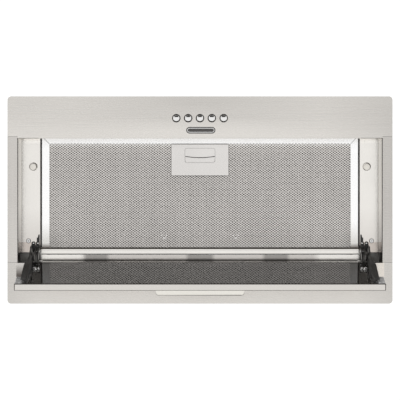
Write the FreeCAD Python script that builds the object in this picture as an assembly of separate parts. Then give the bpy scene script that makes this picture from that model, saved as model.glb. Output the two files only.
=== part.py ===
import FreeCAD, Part
import math
import os

# Range hood that is let into the underside of a wall cabinet, seen from below with its
# flap hanging open. Lengths are millimetres. X runs to the right, Y from the front rail
# to the rear rail, Z up. Zero height is the underside of the cabinet.

# Fascia
fascia_width = 520.0
fascia_depth = 280.0
fascia_corner_radius = 5.0
fascia_drop = 4.0
fascia_sheet = 1.0
fascia_rim_flange = 8.0
front_rail_depth = 56.9
rear_rail_depth = 55.5
side_rail_width = 13.4
front_seam_setback = 2.8
seam_gap = 0.2

# Casing
casing_sheet = 1.2
casing_height = 85.0
casing_side_gap = 0.8
casing_end_inset = 13.0
casing_flange = 12.0
sheet_gap = 0.3

# Recess above the opening
recess_sheet = 1.0
deck_height = 54.0
deck_width = 25.0
deck_rear_inset = 12.9
deck_lip_height = 11.0
side_wall_lean = 2.2
side_wall_clearance = 0.4
front_wall_lean = 5.0
front_wall_clearance = 0.5
front_wall_rise = 12.0
front_wall_knee = 30.0
front_wall_inset = 2.6
ledge_front_inset = 19.5
ledge_depth = 15.7
ledge_drop = 3.1
ledge_bevel_run = 3.2
ledge_bevel_rise = 1.7
ledge_lip_gap = 0.5
ledge_seam_inset = 10.4
ledge_seam = 0.8
ledge_seam_end = 12.0
filter_rear_inset = 9.2
ledge_side_reach = 2.0
ledge_notch_inset = 5.0
ledge_notch_height = 26.0

# Grease filter
filter_gap_side = 2.6
filter_front_gap = 1.3
filter_height = 9.0
filter_sheet = 1.0
filter_frame_width = 10.0
mitre_gap = 0.7
mesh_slack = 0.05
mesh_pitch_x = 21.6
mesh_pitch_y = 14.4
mesh_strand = 3.0

# Filter handle and latch
handle_width = 78.0
handle_depth = 43.6
handle_sheet = 1.0
handle_gap = 0.2
pull_width = 41.6
pull_depth = 20.1
pull_front_inset = 6.2
pull_corner_radius = 3.0
slider_depth = 12.2
slider_bow = 1.8
slider_height = 3.6
slider_clearance = 0.3
slider_lip = 2.2
tongue_width = 20.0
tongue_height = 2.0

# Flap
flap_side_gap = 5.9
flap_thickness = 8.6
flap_sheet = 1.0
flap_open_angle = 99.1
flap_shoulder = 105.0
flap_shoulder_step = 7.4
glass_thickness = 4.0
glass_edge_gap = 0.3
glass_margin = 1.0
rib_place_shares = (0.2, 0.5, 0.8)
rib_width = 14.0
tab_width = 114.6
tab_height = 6.4
tab_thickness = 2.4
tab_setback = 0.6
tab_corner_radius = 3.4

# Flap hinge
pivot_back = 1.63
pivot_above_face = 5.35
hinge_pin_radius = 2.0
pin_head = 0.8
running_fit = 0.08
eye_radius = 3.6
cheek_eye_radius = 3.9
hinge_sheet = 2.0
hinge_inset = 6.0
cheek_spacing = 10.0
arm_offset = 0.8
link_offset = -2.5
foot_outer_reach = 7.0
rim_outer_reach = 8.4
foot_sheet = 1.5
foot_start = 24.0
foot_end = 146.0
arm_crest = 22.5
arm_tail = 5.0
crest_share = 1.2
neck_side_share = 0.64
neck_rise_share = 0.77
eye_side_share = 0.866
stay_pivot_forward = 16.13
stay_pivot_above = 24.65
stay_length = 48.0
stay_open_angle = -80.0
stay_ratio = 0.85
stay_width = 8.0
stay_pin_radius = 2.0
slot_clearance = 0.3
bracket_rear_inset = 0.6
bracket_depth = 17.0
cheek_gap = 0.6
cheek_belly = 6.0
bracket_outer_reach = 6.4
rivet_radius = 1.9
lug_radius = 2.6
ear_step = 7.8
ear_length = 11.9
rivet_height = 1.8
rivet_setback = 5.3
rivet_first_reach = 2.7
rivet_pitch = 5.9
screw_head_radius = 3.0
screw_head_height = 1.6
screw_shank_radius = 1.6
hinge_screw_reach = 10.0
hinge_screw_setback = 2.0

# Side clamps
clamp_inset = 9.3
clamp_setback = 37.3
board_thickness = 18.0
claw_width = 10.0
claw_block_depth = 16.0
claw_thickness = 8.0
claw_leg = 5.0
claw_out_gap = 0.8
claw_rest_lift = 9.0
claw_slot_gap = 0.5
clamp_screw_radius = 3.0
clamp_head_radius = 4.2
clamp_head_height = 2.4
plug_radius = 5.5
plug_height = 3.6
plug_wall = 0.9
thread_fit = 0.1

# Upper box
box_half_width = 165.0
box_end_inset = 7.0
box_height = 184.0
box_flange = 12.0
box_mouth_margin = 10.0

# Duct collar and its two flaps
collar_radius = 60.0
collar_sheet = 1.2
collar_height = 34.0
collar_flange_radius = 65.0
damper_height = 9.0
damper_sheet = 1.0
damper_gap = 1.8
damper_stop = 2.6
damper_pin_radius = 1.5
damper_knuckle_radius = 2.8
damper_centre_gap = 3.2
knuckle_start = 10.0
knuckle_length = 20.0

# Blower
blower_forward = 15.0
blower_above_floor = 100.0
wheel_radius = 70.0
wheel_inner_radius = 57.0
wheel_half_width = 42.0
wheel_sheet = 1.0
wheel_blades = 30
blade_sweep = 14.0
blade_bend = 4.0
hub_radius = 12.0
hub_half_length = 6.0
scroll_start_angle = 65.0
scroll_start_radius = 76.0
scroll_growth = 28.0
scroll_half_width = 44.5
scroll_sheet = 1.5
inlet_radius = 55.0
inlet_lip = 3.0
shaft_radius = 4.0
shaft_fit = 0.08
motor_radius = 40.0
motor_start = 9.0
motor_length = 52.0
motor_shoulder = 8.0
motor_boss_radius = 14.0
bracket_arms = 3
bracket_arm_width = 14.0
bracket_arm_radius = 63.0
bracket_sheet = 2.0
bracket_turn = 30.0
capacitor_size = (20.0, 40.0, 30.0)
capacitor_foot = 2.0

# Mains entry
terminal_size = (56.0, 60.0, 26.0)
terminal_inset = 73.0
terminal_wall = 2.0
strip_far_share = 0.65
strip_near_share = 0.35
gland_radius = 9.0
gland_length = 16.0
gland_bore = 4.0

# Controls
button_count = 5
button_pitch = 16.0
button_row = 29.5
button_radius = 4.6
button_proud = 2.6
button_barrel = 9.0
button_dome = 1.2
button_travel = 3.0
stem_radius = 1.8
stem_length = 9.0
bezel_radius = 5.7
bezel_proud = 0.8
bezel_barrel_radius = 5.3
bezel_bore_gap = 0.3
bezel_depth = 6.0
bezel_fit = 0.1
bank_half_width = 42.0
bank_half_depth = 8.0
bank_height = 22.0
bank_lift = 13.0
stem_gap = 0.3
control_half_width = 70.0
control_wall = 1.6
control_half_depth = 14.0
control_height = 42.0
post_width = 5.0

# Fasteners
screw_radius = 3.2
screw_height = 1.9
hexagon_sides = 6
screw_x_shares = (-0.85, -0.28, 0.28, 0.85)
screw_y_shares = (-0.8, -0.1, 0.35, 0.8)
overrun = 2.0

# Derived places
half_width = fascia_width / 2
half_depth = fascia_depth / 2
face = -fascia_drop
seat = face + fascia_sheet
open_half = half_width - side_rail_width
open_front = -half_depth + front_rail_depth
open_rear = half_depth - rear_rail_depth
wall_inner = open_half + casing_side_gap
wall_outer = wall_inner + casing_sheet
end_outer = half_depth - casing_end_inset
end_inner = end_outer - casing_sheet
roof = casing_height + casing_sheet
box_half_depth = end_outer - box_end_inset
box_floor = roof
box_top = box_floor + box_height
deck_rear = open_rear - deck_rear_inset
deck_outer_half = open_half - side_wall_clearance - side_wall_lean
deck_inner_half = deck_outer_half - deck_width
front_wall_height = deck_height + front_wall_rise
front_wall = open_front - front_wall_inset - recess_sheet
ledge_front = open_rear - ledge_front_inset
ledge_rear = ledge_front + ledge_depth
ledge_lip_half_width = deck_inner_half - ledge_lip_gap
ledge_half_width = deck_inner_half + ledge_side_reach
ledge_wall_half_width = deck_inner_half - ledge_notch_inset
filter_half = deck_inner_half - filter_gap_side
filter_low = deck_height
filter_high = filter_low + filter_height
front_wall_top = open_front - front_wall_lean - front_wall_clearance
filter_front = front_wall_top + filter_front_gap
filter_rear = open_rear - filter_rear_inset
pivot = (open_rear + pivot_back, face + pivot_above_face)
stay_pivot = (pivot[0] - stay_pivot_forward, pivot[1] + stay_pivot_above)
hinge_plane = deck_inner_half + hinge_inset
foot_inner_half = hinge_plane + arm_offset
rim_outer_half = hinge_plane + rim_outer_reach
foot_outer_half = hinge_plane + foot_outer_reach
bracket_rear = deck_rear - bracket_rear_inset
bracket_front = bracket_rear - bracket_depth
bracket_outer_half = hinge_plane + bracket_outer_reach
rivet_row = bracket_front + rivet_setback
rivet_first_half = hinge_plane - rivet_first_reach
hinge_screw_half = hinge_plane + hinge_screw_reach
hinge_screw_row = bracket_front + hinge_screw_setback
clamp_half = deck_inner_half + clamp_inset
clamp_row = open_front + clamp_setback
claw_rest_height = deck_height + claw_rest_lift
flap_rear = open_rear - flap_side_gap
flap_front = open_front + flap_side_gap
flap_half = open_half - flap_side_gap
flap_inner = face + flap_thickness
wheel_centre = (-blower_forward, box_floor + blower_above_floor)
outlet_left = scroll_start_radius * math.cos(math.radians(scroll_start_angle))
outlet_right = scroll_start_radius + scroll_growth
collar_row = wheel_centre[0] + (outlet_left + outlet_right) / 2
damper_level = box_top + casing_sheet + damper_height
terminal_left = box_half_width - terminal_inset
button_y = -half_depth + button_row


def vec(x, y, z):
    return FreeCAD.Vector(x, y, z)


def block(low, high):
    """Box between two corners."""
    return Part.makeBox(high[0] - low[0], high[1] - low[1], high[2] - low[2], vec(*low))


def rod(base, axis, radius, length):
    return Part.makeCylinder(radius, length, vec(*base), vec(*axis))


def polygon(points):
    return Part.Face(Part.makePolygon(points + [points[0]]))


def across(points, x_low, x_high):
    """Side outline of (Y, Z) points, extruded along X."""
    face_points = [vec(x_low, y, z) for y, z in points]
    return polygon(face_points).extrude(vec(x_high - x_low, 0, 0))


def along(points, y_low, y_high):
    """Front outline of (X, Z) points, extruded along Y."""
    face_points = [vec(x, y_low, z) for x, z in points]
    return polygon(face_points).extrude(vec(0, y_high - y_low, 0))


def upward(points, z_low, z_high):
    """Plan outline of (X, Y) points, extruded along Z."""
    face_points = [vec(x, y, z_low) for x, y in points]
    return polygon(face_points).extrude(vec(0, 0, z_high - z_low))


def fuse(shapes):
    return shapes[0].multiFuse(shapes[1:]).removeSplitter()


def mirrored(shape):
    return shape.mirror(vec(0, 0, 0), vec(1, 0, 0))


def pair(shape):
    """The piece on the left and its twin on the right, as one group."""
    return Part.makeCompound([shape, mirrored(shape)])


def rounded_plate(x_half, y_low, y_high, radius, z_low, z_high):
    """Plate with rounded corners in plan."""
    plate = block((-x_half, y_low, z_low), (x_half, y_high, z_high))
    upright = [e for e in plate.Edges if e.Vertexes[0].Z != e.Vertexes[-1].Z]
    return plate.makeFillet(radius, upright)


def save(name, shape):
    shape.exportStep("parts/" + name + ".step")


def in_open_pose(shape):
    """Turn a piece drawn with the flap shut into the open position."""
    turned = shape.copy()
    turned.rotate(vec(0, pivot[0], pivot[1]), vec(1, 0, 0), flap_open_angle)
    return turned


# Fascia


def fascia_ring():
    """Face sheet, folded rim and inward flange of the whole fascia."""
    inner_radius = fascia_corner_radius - fascia_sheet
    sheet = rounded_plate(half_width, -half_depth, half_depth, fascia_corner_radius, face, seat)
    rim = rounded_plate(half_width, -half_depth, half_depth, fascia_corner_radius, face, 0)
    rim = rim.cut(rounded_plate(half_width - fascia_sheet, fascia_sheet - half_depth,
                                half_depth - fascia_sheet, inner_radius, face, 0))
    flange = rounded_plate(half_width, -half_depth, half_depth, fascia_corner_radius, -fascia_sheet, 0)
    hole = block((fascia_rim_flange - half_width, fascia_rim_flange - half_depth, face),
                 (half_width - fascia_rim_flange, half_depth - fascia_rim_flange, overrun))
    flange = flange.cut(hole)
    ring = fuse([sheet, rim, flange])
    opening = block((-open_half, open_front, face - overrun), (open_half, open_rear, overrun))
    return ring.cut(opening)


def make_fascia():
    ring = fascia_ring()
    seam = open_front - front_seam_setback
    wide = half_width + overrun
    deep = half_depth + overrun
    low = face - overrun
    front = ring.common(block((-wide, -deep, low), (wide, seam, overrun)))
    tongue = block((seam_gap - open_half, seam, face), (open_half - seam_gap, open_front, seat))
    front = fuse([front, tongue])
    for place in button_places():
        front = front.cut(rod((place, button_y, low), (0, 0, 1), bezel_barrel_radius + bezel_fit,
                              fascia_drop + overrun))
    rear = ring.common(block((-wide, open_rear, low), (wide, deep, overrun)))
    left = ring.common(block((-wide, seam + seam_gap, low), (-open_half, open_rear - seam_gap, overrun)))
    save("fascia_front_rail", front)
    save("fascia_rear_rail", rear)
    save("fascia_left_rail", left)
    save("fascia_right_rail", mirrored(left))


# Casing


def make_casing():
    flange_low = casing_height - casing_sheet
    front = block((-wall_inner, -end_outer, seat), (wall_inner, -end_inner, casing_height))
    front_flange = block((casing_flange + sheet_gap - wall_inner, -end_inner, flange_low),
                         (wall_inner - casing_flange - sheet_gap, casing_flange - end_inner, casing_height))
    front = fuse([front, front_flange])
    rear = front.mirror(vec(0, 0, 0), vec(0, 1, 0))
    side = block((-wall_outer, -end_outer, seat), (-wall_inner, end_outer, casing_height))
    side_flange = block((-wall_inner, sheet_gap - end_inner, flange_low),
                        (casing_flange - wall_inner, end_inner - sheet_gap, casing_height))
    side = fuse([side, side_flange])
    slot_half = claw_width / 2 + claw_slot_gap
    slot = block((-wall_outer - overrun, clamp_row - slot_half, deck_height + recess_sheet),
                 (casing_flange - wall_inner + overrun, clamp_row + slot_half, casing_height + overrun))
    side = side.cut(slot)
    mouth_x = box_half_width - box_mouth_margin
    mouth_y = box_half_depth - box_mouth_margin
    top = block((-wall_outer, -end_outer, casing_height), (wall_outer, end_outer, roof))
    top = top.cut(block((-mouth_x, -mouth_y, casing_height - overrun), (mouth_x, mouth_y, roof + overrun)))
    save("casing_front", front)
    save("casing_rear", rear)
    save("casing_left", side)
    save("casing_right", mirrored(side))
    save("casing_top", top)


# Recess


def make_recess():
    foot = open_half - side_wall_clearance
    head = deck_outer_half
    wall = along([(-foot, seat), (-foot - side_wall_clearance, seat), (-head - recess_sheet, deck_height),
                  (-head - recess_sheet, deck_height + recess_sheet), (-head, deck_height + recess_sheet),
                  (-head, deck_height)], front_wall + recess_sheet + sheet_gap, deck_rear)
    deck = block((-head, front_wall_top, deck_height),
                 (-deck_inner_half, deck_rear, deck_height + recess_sheet))
    lip = block((-deck_inner_half - recess_sheet, front_wall_top, deck_height),
                (-deck_inner_half, deck_rear, deck_height + deck_lip_height))
    panel = fuse([wall, deck, lip])
    holes = [(clamp_half, clamp_row, clamp_screw_radius + thread_fit),
             (hinge_screw_half, hinge_screw_row, screw_shank_radius + thread_fit)]
    for place, row, radius in holes:
        panel = panel.cut(rod((-place, row, deck_height - overrun), (0, 0, 1), radius, 3 * overrun))
    save("recess_left_panel", panel)
    save("recess_right_panel", mirrored(panel))
    make_front_wall(head)
    make_rear_ledge()


def make_front_wall(side_half):
    wall_foot = open_front - front_wall_clearance
    outline = [(wall_foot, seat), (front_wall_top, front_wall_knee), (front_wall_top, front_wall_height),
               (front_wall_top - recess_sheet, front_wall_height),
               (front_wall_top - recess_sheet, front_wall_knee), (wall_foot - recess_sheet, seat)]
    wall = across(outline, -side_half, side_half)
    slot_half = tongue_width / 2 + slider_clearance
    tongue_low = tongue_floor() - slider_clearance
    tongue_high = tongue_floor() + tongue_height + slider_clearance
    wall = wall.cut(block((-slot_half, front_wall_top - overrun, tongue_low),
                          (slot_half, front_wall_top + overrun, tongue_high)))
    save("recess_front_wall", wall)


def make_rear_ledge():
    """Ledge of two strips that carries the rear edge of the filter, and the wall below it."""
    low = deck_height - ledge_drop
    top = low + recess_sheet
    wall_foot = open_rear + recess_sheet - seam_gap
    bend = ledge_front + ledge_bevel_run
    lip = [(ledge_front, low + ledge_bevel_rise), (bend, low), (ledge_rear, low), (ledge_rear, top),
           (bend, top), (ledge_front, top + ledge_bevel_rise)]
    ledge = across(lip, -ledge_lip_half_width, ledge_lip_half_width)
    seam_front = open_rear - ledge_seam_inset
    seam = block((ledge_seam_end - ledge_half_width, seam_front, low - overrun),
                 (ledge_half_width - ledge_seam_end, seam_front + ledge_seam, top + overrun))
    ledge = ledge.cut(seam)
    outline = [(ledge_rear, top), (ledge_rear, low), (wall_foot - recess_sheet, seat),
               (wall_foot, seat), (ledge_rear + recess_sheet, top)]
    wall = across(outline, -ledge_half_width, ledge_half_width)
    notch = block((-ledge_half_width - overrun, ledge_front, seat - overrun),
                  (-ledge_wall_half_width, open_rear + overrun, ledge_notch_height))
    wall = wall.cut(notch).cut(mirrored(notch))
    save("recess_rear_ledge", fuse([ledge, wall]))


# Grease filter


def filter_channel():
    """Hollow channel round the whole filter, open towards the mesh."""
    outer = block((-filter_half, filter_front, filter_low), (filter_half, filter_rear, filter_high))
    rim = filter_frame_width
    window = block((rim - filter_half, filter_front + rim, filter_low - overrun),
                   (filter_half - rim, filter_rear - rim, filter_high + overrun))
    groove = block((filter_sheet - filter_half, filter_front + filter_sheet, filter_low + filter_sheet),
                   (filter_half - filter_sheet, filter_rear - filter_sheet, filter_high - filter_sheet))
    return outer.cut(window).cut(groove)


def make_filter_frame():
    channel = filter_channel()
    reach = (filter_rear - filter_front) / 2
    middle = (filter_rear + filter_front) / 2
    low = filter_low - overrun
    high = filter_high + overrun
    inner = filter_half - reach
    long_front = [(-filter_half, filter_front), (-inner, middle), (inner, middle),
                  (filter_half, filter_front)]
    long_rear = [(x, 2 * middle - y) for x, y in long_front]
    side = [(-filter_half - mitre_gap, filter_front), (-inner - mitre_gap, middle),
            (-filter_half - mitre_gap, filter_rear), (-filter_half - overrun, filter_rear),
            (-filter_half - overrun, filter_front)]
    front = channel.common(upward(long_front, low, high))
    rear = channel.common(upward(long_rear, low, high))
    left = channel.common(upward(side, low, high))
    slot_half = tongue_width / 2 + slider_clearance
    front = front.cut(block((-slot_half, filter_front - overrun, tongue_floor() - slider_clearance),
                            (slot_half, filter_front + overrun,
                             tongue_floor() + tongue_height + slider_clearance)))
    save("filter_front_rail", front)
    save("filter_rear_rail", rear)
    save("filter_side_rails", pair(left))


def make_filter_mesh():
    """One net of staggered diamonds that fills the channel's groove."""
    x_half = filter_half - filter_sheet - mesh_slack
    y_low = filter_front + filter_sheet + mesh_slack
    y_high = filter_rear - filter_sheet - mesh_slack
    z_low = filter_low + filter_sheet + mesh_slack
    z_high = filter_high - filter_sheet - mesh_slack
    handle_edge = filter_front + filter_frame_width + handle_depth + handle_gap
    handle_side = handle_width / 2 + handle_gap
    outline = [(-x_half, y_low), (-handle_side, y_low), (-handle_side, handle_edge),
               (handle_side, handle_edge), (handle_side, y_low), (x_half, y_low),
               (x_half, y_high), (-x_half, y_high)]
    rim = Part.makePolygon([vec(x, y, z_low) for x, y in outline + [outline[0]]])
    hole_x = (mesh_pitch_x - mesh_strand) / 2
    hole_y = (mesh_pitch_y - mesh_strand) / 2
    border = filter_frame_width
    rows = int((y_high - y_low - 2 * border) / mesh_pitch_y * 2)
    columns = int((x_half - border) / mesh_pitch_x)
    middle_y = (y_low + y_high) / 2
    wires = []
    for row in range(-rows, rows + 1):
        y = middle_y + row * mesh_pitch_y / 2
        if y - hole_y < y_low + border or y + hole_y > y_high - border:
            continue
        stagger = (row % 2) / 2
        for column in range(-columns - 1, columns + 1):
            x = (column + stagger) * mesh_pitch_x
            if abs(x) + hole_x > x_half - border + mesh_strand:
                continue
            if abs(x) < handle_side + hole_x + mesh_strand and y < handle_edge + hole_y + mesh_strand:
                continue
            corners = [vec(x - hole_x, y, z_low), vec(x, y - hole_y, z_low),
                       vec(x + hole_x, y, z_low), vec(x, y + hole_y, z_low)]
            wires.append(Part.makePolygon(corners + [corners[0]]))
    net = Part.Face([rim] + wires)
    net.validate()
    save("filter_mesh", net.extrude(vec(0, 0, z_high - z_low)))


def tongue_floor():
    """Underside of the latch tongue."""
    return filter_low + filter_height / 2 - tongue_height / 2 + slider_clearance


def pull_front():
    return filter_front + filter_frame_width + pull_front_inset


def make_filter_handle():
    """Pressed handle plate with the finger pull, closed at its back."""
    plate_front = filter_front + filter_frame_width + handle_gap
    plate_rear = plate_front + handle_depth - handle_gap
    low = filter_low + filter_sheet / 2
    high = filter_high - filter_sheet - mesh_slack
    x_half = handle_width / 2
    body = block((-x_half, plate_front, low), (x_half, plate_rear, high))
    pocket = rounded_plate(pull_width / 2, pull_front(), pull_front() + pull_depth, pull_corner_radius,
                           low - overrun, high - handle_sheet)
    body = body.cut(pocket)
    channel_half = tongue_width / 2 + slider_clearance
    channel = block((-channel_half, plate_front - overrun, tongue_floor() - slider_clearance),
                    (channel_half, pull_front() + overrun, tongue_floor() + tongue_height + slider_clearance))
    body = body.cut(channel)
    wing = handle_sheet * 2
    for side in (-1, 1):
        inner = side * (pull_width / 2 + wing)
        outer = side * (x_half - wing)
        hollow = block((min(inner, outer), plate_front + wing, low + handle_sheet),
                       (max(inner, outer), plate_rear - wing, high + overrun))
        body = body.cut(hollow)
    save("filter_handle", body)


def make_filter_latch():
    """Sliding latch: thumb piece with a bowed edge, and the tongue that it draws back."""
    half = pull_width / 2 - slider_clearance
    front = pull_front() + slider_clearance
    rear = front + slider_depth - slider_bow
    low = filter_low + filter_sheet
    high = low + slider_height + slider_lip
    left = vec(-half, rear, low)
    right = vec(half, rear, low)
    bow = Part.Arc(right, vec(0, rear + slider_bow, low), left).toShape()
    edges = [Part.LineSegment(left, vec(-half, front, low)).toShape(),
             Part.LineSegment(vec(-half, front, low), vec(half, front, low)).toShape(),
             Part.LineSegment(vec(half, front, low), right).toShape(), bow]
    thumb = Part.Face(Part.Wire(edges)).extrude(vec(0, 0, high - low))
    upright = [e for e in thumb.Edges
               if e.Vertexes[0].Z != e.Vertexes[-1].Z and e.Vertexes[0].Y < rear - slider_bow]
    thumb = thumb.makeFillet(pull_corner_radius - slider_clearance, upright)
    tongue = block((-tongue_width / 2, front_wall_top + slider_clearance, tongue_floor()),
                   (tongue_width / 2, front + overrun, tongue_floor() + tongue_height))
    save("filter_latch", fuse([thumb, tongue]))


# Flap, drawn shut and then turned open


def flap_plan(half, inset, z_low, z_high):
    """Flap outline: narrow towards the hinge, full width along the free edge."""
    shoulder = flap_rear - flap_shoulder
    narrow = half - flap_shoulder_step
    rear = flap_rear - inset
    front = flap_front + inset
    outline = [(-narrow, rear), (-narrow, shoulder - inset), (-half, shoulder - inset), (-half, front),
               (half, front), (half, shoulder - inset), (narrow, shoulder - inset), (narrow, rear)]
    return upward(outline, z_low, z_high)


def make_flap():
    skin = flap_plan(flap_half, 0, face, flap_inner)
    hollow = flap_plan(flap_half - flap_sheet, flap_sheet, face + flap_sheet, flap_inner - flap_sheet)
    glass_half = flap_half - flap_shoulder_step - flap_sheet - glass_margin
    glass_rear = flap_rear - flap_sheet - glass_margin
    glass_front = flap_front + flap_sheet + glass_margin
    window = block((-glass_half - glass_edge_gap, glass_front - glass_edge_gap, flap_inner - 2 * flap_sheet),
                   (glass_half + glass_edge_gap, glass_rear + glass_edge_gap, flap_inner + overrun))
    skin = skin.cut(hollow).cut(window)
    glass = block((-glass_half, glass_front, flap_inner - glass_thickness),
                  (glass_half, glass_rear, flap_inner))
    rest_low = face + flap_sheet
    rest_high = flap_inner - glass_thickness
    ribs = []
    for share in rib_place_shares:
        rib_y = flap_rear + (flap_front - flap_rear) * share
        ribs.append(block((-glass_half + flap_shoulder_step, rib_y, rest_low),
                          (glass_half - flap_shoulder_step, rib_y + rib_width, rest_high)))
    save("flap_skin", in_open_pose(fuse([skin] + ribs)))
    save("flap_glass", in_open_pose(glass))
    make_tab()


def make_tab():
    """Finger tab on the outer face, along the free edge."""
    y_low = flap_front + tab_setback
    tab = block((-tab_width / 2, y_low, face - tab_height), (tab_width / 2, y_low + tab_thickness, face))
    corners = [e for e in tab.Edges
               if e.Vertexes[0].Y != e.Vertexes[-1].Y and e.Vertexes[0].Z < face - tab_height / 2]
    tab = tab.makeFillet(tab_corner_radius, corners)
    save("flap_tab", in_open_pose(tab))


# Flap hinges, left side drawn and then mirrored


def turn(point, centre, degrees):
    """Turn a (Y, Z) point about a centre."""
    angle = math.radians(degrees)
    y = point[0] - centre[0]
    z = point[1] - centre[1]
    return (centre[0] + y * math.cos(angle) - z * math.sin(angle),
            centre[1] + y * math.sin(angle) + z * math.cos(angle))


def stay_end(flap_angle):
    """Far end of the stay for a flap angle, zero at open and negative towards shut."""
    angle = math.radians(stay_open_angle + stay_ratio * flap_angle)
    return (stay_pivot[0] + stay_length * math.cos(angle), stay_pivot[1] + stay_length * math.sin(angle))


def slot_path(steps=8):
    """Path of the stay's pin in the arm, with the arm drawn in its shut position."""
    path = []
    for step in range(steps + 1):
        flap_angle = -flap_open_angle * step / steps
        path.append(turn(stay_end(flap_angle), pivot, -flap_angle - flap_open_angle))
    return path


def slot_side(path, offset):
    """The path moved sideways, as a list of points."""
    moved = []
    last = len(path) - 1
    for i, (y, z) in enumerate(path):
        before = path[max(i - 1, 0)]
        after = path[min(i + 1, last)]
        run = math.hypot(after[0] - before[0], after[1] - before[1])
        moved.append((y - (after[1] - before[1]) / run * offset, z + (after[0] - before[0]) / run * offset))
    return moved


def make_slot(x_low, x_high):
    """Cutter for the curved slot, with round ends."""
    width = stay_pin_radius + slot_clearance
    path = slot_path()
    sides = []
    for offset in (width, -width):
        curve = Part.BSplineCurve()
        curve.interpolate([vec(x_low, y, z) for y, z in slot_side(path, offset)])
        sides.append(curve.toShape())
    upper, lower = sides
    ends = []
    for index in (0, -1):
        ends.append(Part.LineSegment(upper.valueAt(upper.ParameterRange[index]),
                                     lower.valueAt(lower.ParameterRange[index])).toShape())
    wire = Part.Wire(Part.__sortEdges__([upper, ends[1], lower, ends[0]]))
    slot = Part.Face(wire).extrude(vec(x_high - x_low, 0, 0))
    caps = [rod((x_low, y, z), (1, 0, 0), width, x_high - x_low) for y, z in (path[0], path[-1])]
    return slot.multiFuse(caps)


def make_hinge_arm():
    """Arm of the flap: eye on the pivot, bowed plate with rim and slot, and a foot on the glass."""
    x_low = -hinge_plane - arm_offset - hinge_sheet
    x_high = x_low + hinge_sheet
    floor = flap_inner
    arm_front = flap_rear - foot_end
    crest = floor + arm_crest
    neck = open_rear - pivot_back - eye_radius
    start = flap_rear - eye_radius
    outline = [(pivot[0] - eye_radius * neck_side_share, pivot[1] + eye_radius * neck_rise_share),
               (neck, floor), (arm_front, floor), (arm_front, floor + arm_tail),
               (start - 3 * arm_crest, floor + arm_tail * 2), (start - 2 * arm_crest, crest - arm_tail),
               (start - arm_crest * crest_share, crest), (start - arm_tail, crest),
               (pivot[0] - arm_tail, crest / 2),
               (pivot[0], pivot[1] + eye_radius)]
    plate = across(outline, x_low, x_high)
    edge = outline[3:6]
    profile = edge + [(y, z - foot_sheet) for y, z in reversed(edge)]
    rim_plan = [(x_high, edge[0][0]), (x_high, edge[2][0]), (x_low, edge[2][0]),
                (-rim_outer_half, edge[1][0]), (-rim_outer_half, edge[0][0])]
    rim = across(profile, -rim_outer_half, x_high).common(upward(rim_plan, floor, crest))
    eye = rod((x_low, pivot[0], pivot[1]), (1, 0, 0), eye_radius, hinge_sheet)
    bore = rod((x_low - overrun, pivot[0], pivot[1]), (1, 0, 0), hinge_pin_radius + running_fit,
               hinge_sheet + 2 * overrun)
    foot_rear = flap_rear - foot_start
    taper = foot_outer_half - hinge_plane
    foot = upward([(-foot_outer_half + taper / 2, foot_rear), (-foot_outer_half, foot_rear - taper),
                   (-foot_outer_half, arm_front + taper), (-foot_outer_half + taper / 2, arm_front),
                   (-foot_inner_half, arm_front), (-foot_inner_half, foot_rear)], floor, floor + foot_sheet)
    arm = fuse([plate, rim, eye, foot]).cut(make_slot(x_low - overrun, x_high + overrun)).cut(bore)
    arm = in_open_pose(arm)
    save("hinge_arm_left", arm)
    save("hinge_arm_right", mirrored(arm))


def make_hinge_stay():
    """Stay link between the bracket and the slot of the arm."""
    x_low = -hinge_plane - link_offset - hinge_sheet
    base = stay_pivot
    tip = stay_end(0)
    ends = [rod((x_low, y, z), (1, 0, 0), stay_width / 2, hinge_sheet) for y, z in (base, tip)]
    angle = math.radians(stay_open_angle + 90)
    side = (stay_width / 2 * math.cos(angle), stay_width / 2 * math.sin(angle))
    bar = across([(base[0] + side[0], base[1] + side[1]), (tip[0] + side[0], tip[1] + side[1]),
                  (tip[0] - side[0], tip[1] - side[1]), (base[0] - side[0], base[1] - side[1])],
                 x_low, x_low + hinge_sheet)
    arm_low = -hinge_plane - arm_offset - hinge_sheet
    pin_low = arm_low - pin_head
    pin = rod((pin_low, tip[0], tip[1]), (1, 0, 0), stay_pin_radius, x_low + hinge_sheet - pin_low)
    bore = rod((x_low - overrun, base[0], base[1]), (1, 0, 0), hinge_pin_radius + running_fit,
               hinge_sheet + 2 * overrun)
    link = fuse(ends + [bar, pin]).cut(bore)
    save("hinge_stay_left", link)
    save("hinge_stay_right", mirrored(link))


def cheek_outline():
    """Side plate of the bracket, from the deck down to the pivot."""
    cheek_front = rivet_row + lug_radius + cheek_gap
    return [(cheek_front, deck_height), (bracket_rear, deck_height),
            (stay_pivot[0] + cheek_belly, stay_pivot[1]),
            (pivot[0] + cheek_eye_radius * eye_side_share, pivot[1] + cheek_eye_radius / 2),
            pivot, (pivot[0] - cheek_eye_radius, pivot[1]),
            (stay_pivot[0] - cheek_belly, stay_pivot[1] - cheek_belly),
            (cheek_front, stay_pivot[1] + cheek_belly)]


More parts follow.
